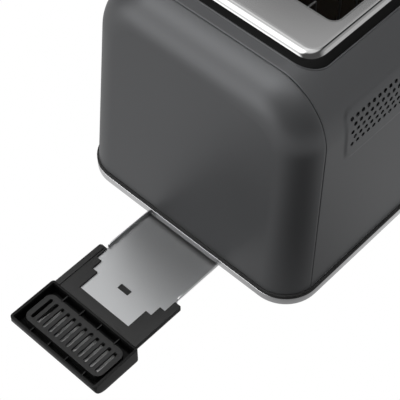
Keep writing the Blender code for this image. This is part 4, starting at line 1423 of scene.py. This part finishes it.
def sky_patch(tree, toward, inner, outer, strength):
    """A soft round patch of light in a direction of the sky, with its edge between two angles."""
    spot = add_node(tree, "ShaderNodeTexCoord")
    dot = add_node(tree, "ShaderNodeVectorMath", operation="DOT_PRODUCT")
    dot.inputs[1].default_value = Vector(toward).normalized()
    edge = add_node(tree, "ShaderNodeMapRange", interpolation_type="SMOOTHSTEP")
    edge.inputs["From Min"].default_value = math.cos(math.radians(outer))
    edge.inputs["From Max"].default_value = math.cos(math.radians(inner))
    edge.inputs["To Min"].default_value = 0.0
    edge.inputs["To Max"].default_value = strength
    tree.links.new(spot.outputs["Generated"], dot.inputs[0])
    tree.links.new(dot.outputs["Value"], edge.inputs["Value"])
    return edge.outputs["Result"]


ROOM_LIGHT = 0.10
SECOND_REFLECTIONS = 0.12
OVERHEAD = ((0.05, 0.00, 1.00), 8, 30)
OVERHEAD_SEEN, OVERHEAD_CAST = 0.9, 9.0
WINDOWS = (
    ((-0.86, 0.50, 0.05), 14, 42, 1.9),
    ((0.70, -0.70, 0.20), 10, 42, 0.36),
    ((-0.35, 0.42, 0.84), 8, 26, 2.3),
    ((0.20, 0.42, 0.88), 6, 18, 0.6),
    ((0.56, 0.43, 0.71), 15, 26, 0.52),
)
SHADES = (
    ((0.50, -0.16, 0.86), 16, 22, -0.09),
    ((0.62, 0.46, 0.64), 4.85, 5.25, -0.44),
)


def math_node(tree, operation, first, second):
    """A sum or product of an output with another output or a number."""
    node = add_node(tree, "ShaderNodeMath", operation=operation)
    tree.links.new(first, node.inputs[0])
    if isinstance(second, float):
        node.inputs[1].default_value = second
    else:
        tree.links.new(second, node.inputs[1])
    return node.outputs[0]


def make_sky():
    """Studio light: a dim room with broad soft patches, and plain white where it is seen.

    The patch overhead lights matt surfaces strongly and shows only dimly in polished ones.
    Whatever is reflected a second time sees an even dim room.
    """
    world = bpy.data.worlds.new("studio")
    bpy.context.scene.world = world
    world.use_nodes = True
    tree = world.node_tree
    tree.nodes.clear()
    path = add_node(tree, "ShaderNodeLightPath")
    strength = mixed(tree, path.outputs["Is Diffuse Ray"], OVERHEAD_SEEN, OVERHEAD_CAST)
    total = math_node(tree, "MULTIPLY", strength, sky_patch(tree, *OVERHEAD, 1.0))
    for patch in WINDOWS + SHADES:
        total = math_node(tree, "ADD", total, sky_patch(tree, *patch))
    total = math_node(tree, "ADD", total, ROOM_LIGHT)
    light = add_node(tree, "ShaderNodeBackground")
    plain = add_node(tree, "ShaderNodeBackground")
    light.inputs["Color"].default_value = (0.8, 0.8, 0.8, 1.0)
    plain.inputs["Color"].default_value = (1.0, 1.0, 1.0, 1.0)
    deeper = add_node(tree, "ShaderNodeMapRange")
    deeper.inputs["From Min"].default_value = 1.0
    deeper.inputs["From Max"].default_value = 2.0
    softened = add_node(tree, "ShaderNodeMix", data_type="FLOAT")
    softened.inputs["B"].default_value = SECOND_REFLECTIONS
    tree.links.new(path.outputs["Glossy Depth"], deeper.inputs["Value"])
    tree.links.new(deeper.outputs["Result"], softened.inputs["Factor"])
    tree.links.new(total, softened.inputs["A"])
    tree.links.new(softened.outputs["Result"], light.inputs["Strength"])
    choice = add_node(tree, "ShaderNodeMixShader")
    out = add_node(tree, "ShaderNodeOutputWorld")
    tree.links.new(path.outputs["Is Camera Ray"], choice.inputs["Fac"])
    tree.links.new(light.outputs["Background"], choice.inputs[1])
    tree.links.new(plain.outputs["Background"], choice.inputs[2])
    tree.links.new(choice.outputs["Shader"], out.inputs["Surface"])


# Painted shade: a dim spot on the floor that only reflections see, beside the tray end.
PAINTED_SHADE_SPOT = (-190 * MM, -230 * MM, 0.0)
PAINTED_SHADE_INNER, PAINTED_SHADE_OUTER, PAINTED_SHADE_LEVEL = 50 * MM, 270 * MM, 0.01


def make_floor(s):
    bm = bmesh.new()
    bmesh.ops.create_circle(bm, cap_ends=True, segments=96, radius=s.floor_radius * MM)
    floor = object_of(bm, "pale_floor")
    if floor.data.polygons[0].normal.z < 0:
        floor.data.flip_normals()
    floor.data.materials.append(make_floor_paint(s))


def make_floor_paint(s):
    """A pale floor: white where it is seen, with a painted shade that dims it in reflections beside
    the tray end.
    """
    made = bpy.data.materials.new("floor_paint")
    made.use_nodes = True
    tree = made.node_tree
    tree.nodes.clear()
    path = add_node(tree, "ShaderNodeLightPath")
    glow = add_node(tree, "ShaderNodeEmission")
    spot = add_node(tree, "ShaderNodeTexCoord")
    away = add_node(tree, "ShaderNodeVectorMath", operation="DISTANCE")
    away.inputs[1].default_value = PAINTED_SHADE_SPOT
    shade = add_node(tree, "ShaderNodeMapRange", interpolation_type="SMOOTHSTEP")
    shade.inputs["From Min"].default_value = PAINTED_SHADE_INNER
    shade.inputs["From Max"].default_value = PAINTED_SHADE_OUTER
    shade.inputs["To Min"].default_value = PAINTED_SHADE_LEVEL
    shade.inputs["To Max"].default_value = s.floor_glossy
    near = add_node(tree, "ShaderNodeMix", data_type="FLOAT")
    near.inputs["A"].default_value = s.floor_diffuse
    tree.links.new(spot.outputs["Object"], away.inputs[0])
    tree.links.new(away.outputs["Value"], shade.inputs["Value"])
    tree.links.new(shade.outputs["Result"], near.inputs["B"])
    shown = add_node(tree, "ShaderNodeMix", data_type="FLOAT")
    shown.inputs["B"].default_value = 1.0
    out = add_node(tree, "ShaderNodeOutputMaterial")
    tree.links.new(path.outputs["Is Glossy Ray"], near.inputs["Factor"])
    tree.links.new(near.outputs["Result"], shown.inputs["A"])
    tree.links.new(path.outputs["Is Camera Ray"], shown.inputs["Factor"])
    tree.links.new(shown.outputs["Result"], glow.inputs["Strength"])
    tree.links.new(glow.outputs["Emission"], out.inputs["Surface"])
    return made


def make_camera(s):
    data = bpy.data.cameras.new("studio_camera")
    data.lens = s.focal
    data.sensor_width = 36.0
    camera = bpy.data.objects.new("studio_camera", data)
    camera.location = s.camera_at
    camera.rotation_euler = (math.pi / 2 - s.elevation, 0.0, s.azimuth)
    bpy.context.scene.collection.objects.link(camera)
    bpy.context.scene.camera = camera
    bpy.context.scene.view_settings.view_transform = "Standard"


# Operators


def settings_of(context, name):
    return in_millimetres(getattr(context.scene, name))


class BuildStage(bpy.types.Operator):
    """Set up the floor, the light and the camera"""

    bl_idname = "toaster.stage"
    bl_label = "Stage"

    def execute(self, context):
        s = settings_of(context, "toaster_stage")
        make_sky()
        make_floor(s)
        make_camera(s)
        return {"FINISHED"}


class BuildFinishes(bpy.types.Operator):
    """Make the toaster's finishes"""

    bl_idname = "toaster.finishes"
    bl_label = "Finishes"

    def execute(self, context):
        make_grain_group()
        make_streak_group()
        make_finishes(context.scene.toaster_finish)
        return {"FINISHED"}


class BuildBody(bpy.types.Operator):
    """Build the wrapped sheet with its vents and the two end covers"""

    bl_idname = "toaster.body"
    bl_label = "Body shell"

    def execute(self, context):
        make_body(settings_of(context, "toaster_body"), settings_of(context, "toaster_top"))
        return {"FINISHED"}


class BuildTop(bpy.types.Operator):
    """Build the polished plate, its channel and the slot wells"""

    bl_idname = "toaster.top"
    bl_label = "Top plate"

    def execute(self, context):
        make_top(settings_of(context, "toaster_body"), settings_of(context, "toaster_top"))
        return {"FINISHED"}


class BuildBase(bpy.types.Operator):
    """Build the base flange, the plated skirt, the feet and the screws"""

    bl_idname = "toaster.base"
    bl_label = "Base"

    def execute(self, context):
        make_base(settings_of(context, "toaster_body"))
        return {"FINISHED"}


class BuildTray(bpy.types.Operator):
    """Build the folded crumb tray"""

    bl_idname = "toaster.tray"
    bl_label = "Crumb tray"

    def execute(self, context):
        make_tray(settings_of(context, "toaster_tray"))
        return {"FINISHED"}


class BuildHandle(bpy.types.Operator):
    """Build the crumb tray's moulded handle"""

    bl_idname = "toaster.handle"
    bl_label = "Tray handle"

    def execute(self, context):
        make_handle(settings_of(context, "toaster_tray"))
        return {"FINISHED"}


class BuildControls(bpy.types.Operator):
    """Build the browning dial and the push buttons"""

    bl_idname = "toaster.controls"
    bl_label = "Dial and buttons"

    def execute(self, context):
        make_controls(settings_of(context, "toaster_body"))
        return {"FINISHED"}


class BuildHeating(bpy.types.Operator):
    """Build the bread guards and the heating elements"""

    bl_idname = "toaster.heating"
    bl_label = "Guards and elements"

    def execute(self, context):
        make_guards()
        make_elements()
        return {"FINISHED"}


class BuildCarriage(bpy.types.Operator):
    """Build the bread racks, the lever knob and the return spring"""

    bl_idname = "toaster.carriage"
    bl_label = "Carriage"

    def execute(self, context):
        make_racks()
        make_knob()
        make_spring()
        return {"FINISHED"}


class DressKeptParts(bpy.types.Operator):
    """Give the frame's own parts their finishes"""

    bl_idname = "toaster.kept_parts"
    bl_label = "Kept parts"

    def execute(self, context):
        dress_kept_parts()
        return {"FINISHED"}


BUILDERS = (
    BuildStage, BuildFinishes, BuildBody, BuildTop, BuildBase, BuildTray, BuildHandle,
    BuildControls, BuildHeating, BuildCarriage, DressKeptParts,
)  # fmt: skip
SETTINGS = {
    "toaster_body": ToasterBodySettings,
    "toaster_top": ToasterTopSettings,
    "toaster_tray": ToasterTraySettings,
    "toaster_finish": ToasterFinishSettings,
    "toaster_stage": ToasterStageSettings,
}


class ToasterPanel(bpy.types.Panel):
    """Lists the toaster's pieces"""

    bl_idname = "VIEW3D_PT_toaster"
    bl_label = "Toaster"
    bl_space_type = "VIEW_3D"
    bl_region_type = "UI"
    bl_category = "Toaster"

    def draw(self, context):
        for builder in BUILDERS:
            self.layout.operator(builder.bl_idname)
        for name, group in SETTINGS.items():
            box = self.layout.box()
            for label in group.__annotations__:
                box.prop(getattr(context.scene, name), label)


def register():
    for name, group in SETTINGS.items():
        bpy.utils.register_class(group)
        setattr(bpy.types.Scene, name, PointerProperty(type=group))
    for builder in BUILDERS:
        bpy.utils.register_class(builder)
    bpy.utils.register_class(ToasterPanel)


def unregister():
    bpy.utils.unregister_class(ToasterPanel)
    for builder in reversed(BUILDERS):
        bpy.utils.unregister_class(builder)
    for name, group in SETTINGS.items():
        delattr(bpy.types.Scene, name)
        bpy.utils.unregister_class(group)


def main():
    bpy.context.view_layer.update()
    register()
    for builder in BUILDERS:
        area, name = builder.bl_idname.split(".")
        getattr(getattr(bpy.ops, area), name)()


if __name__ == "__main__":
    main()
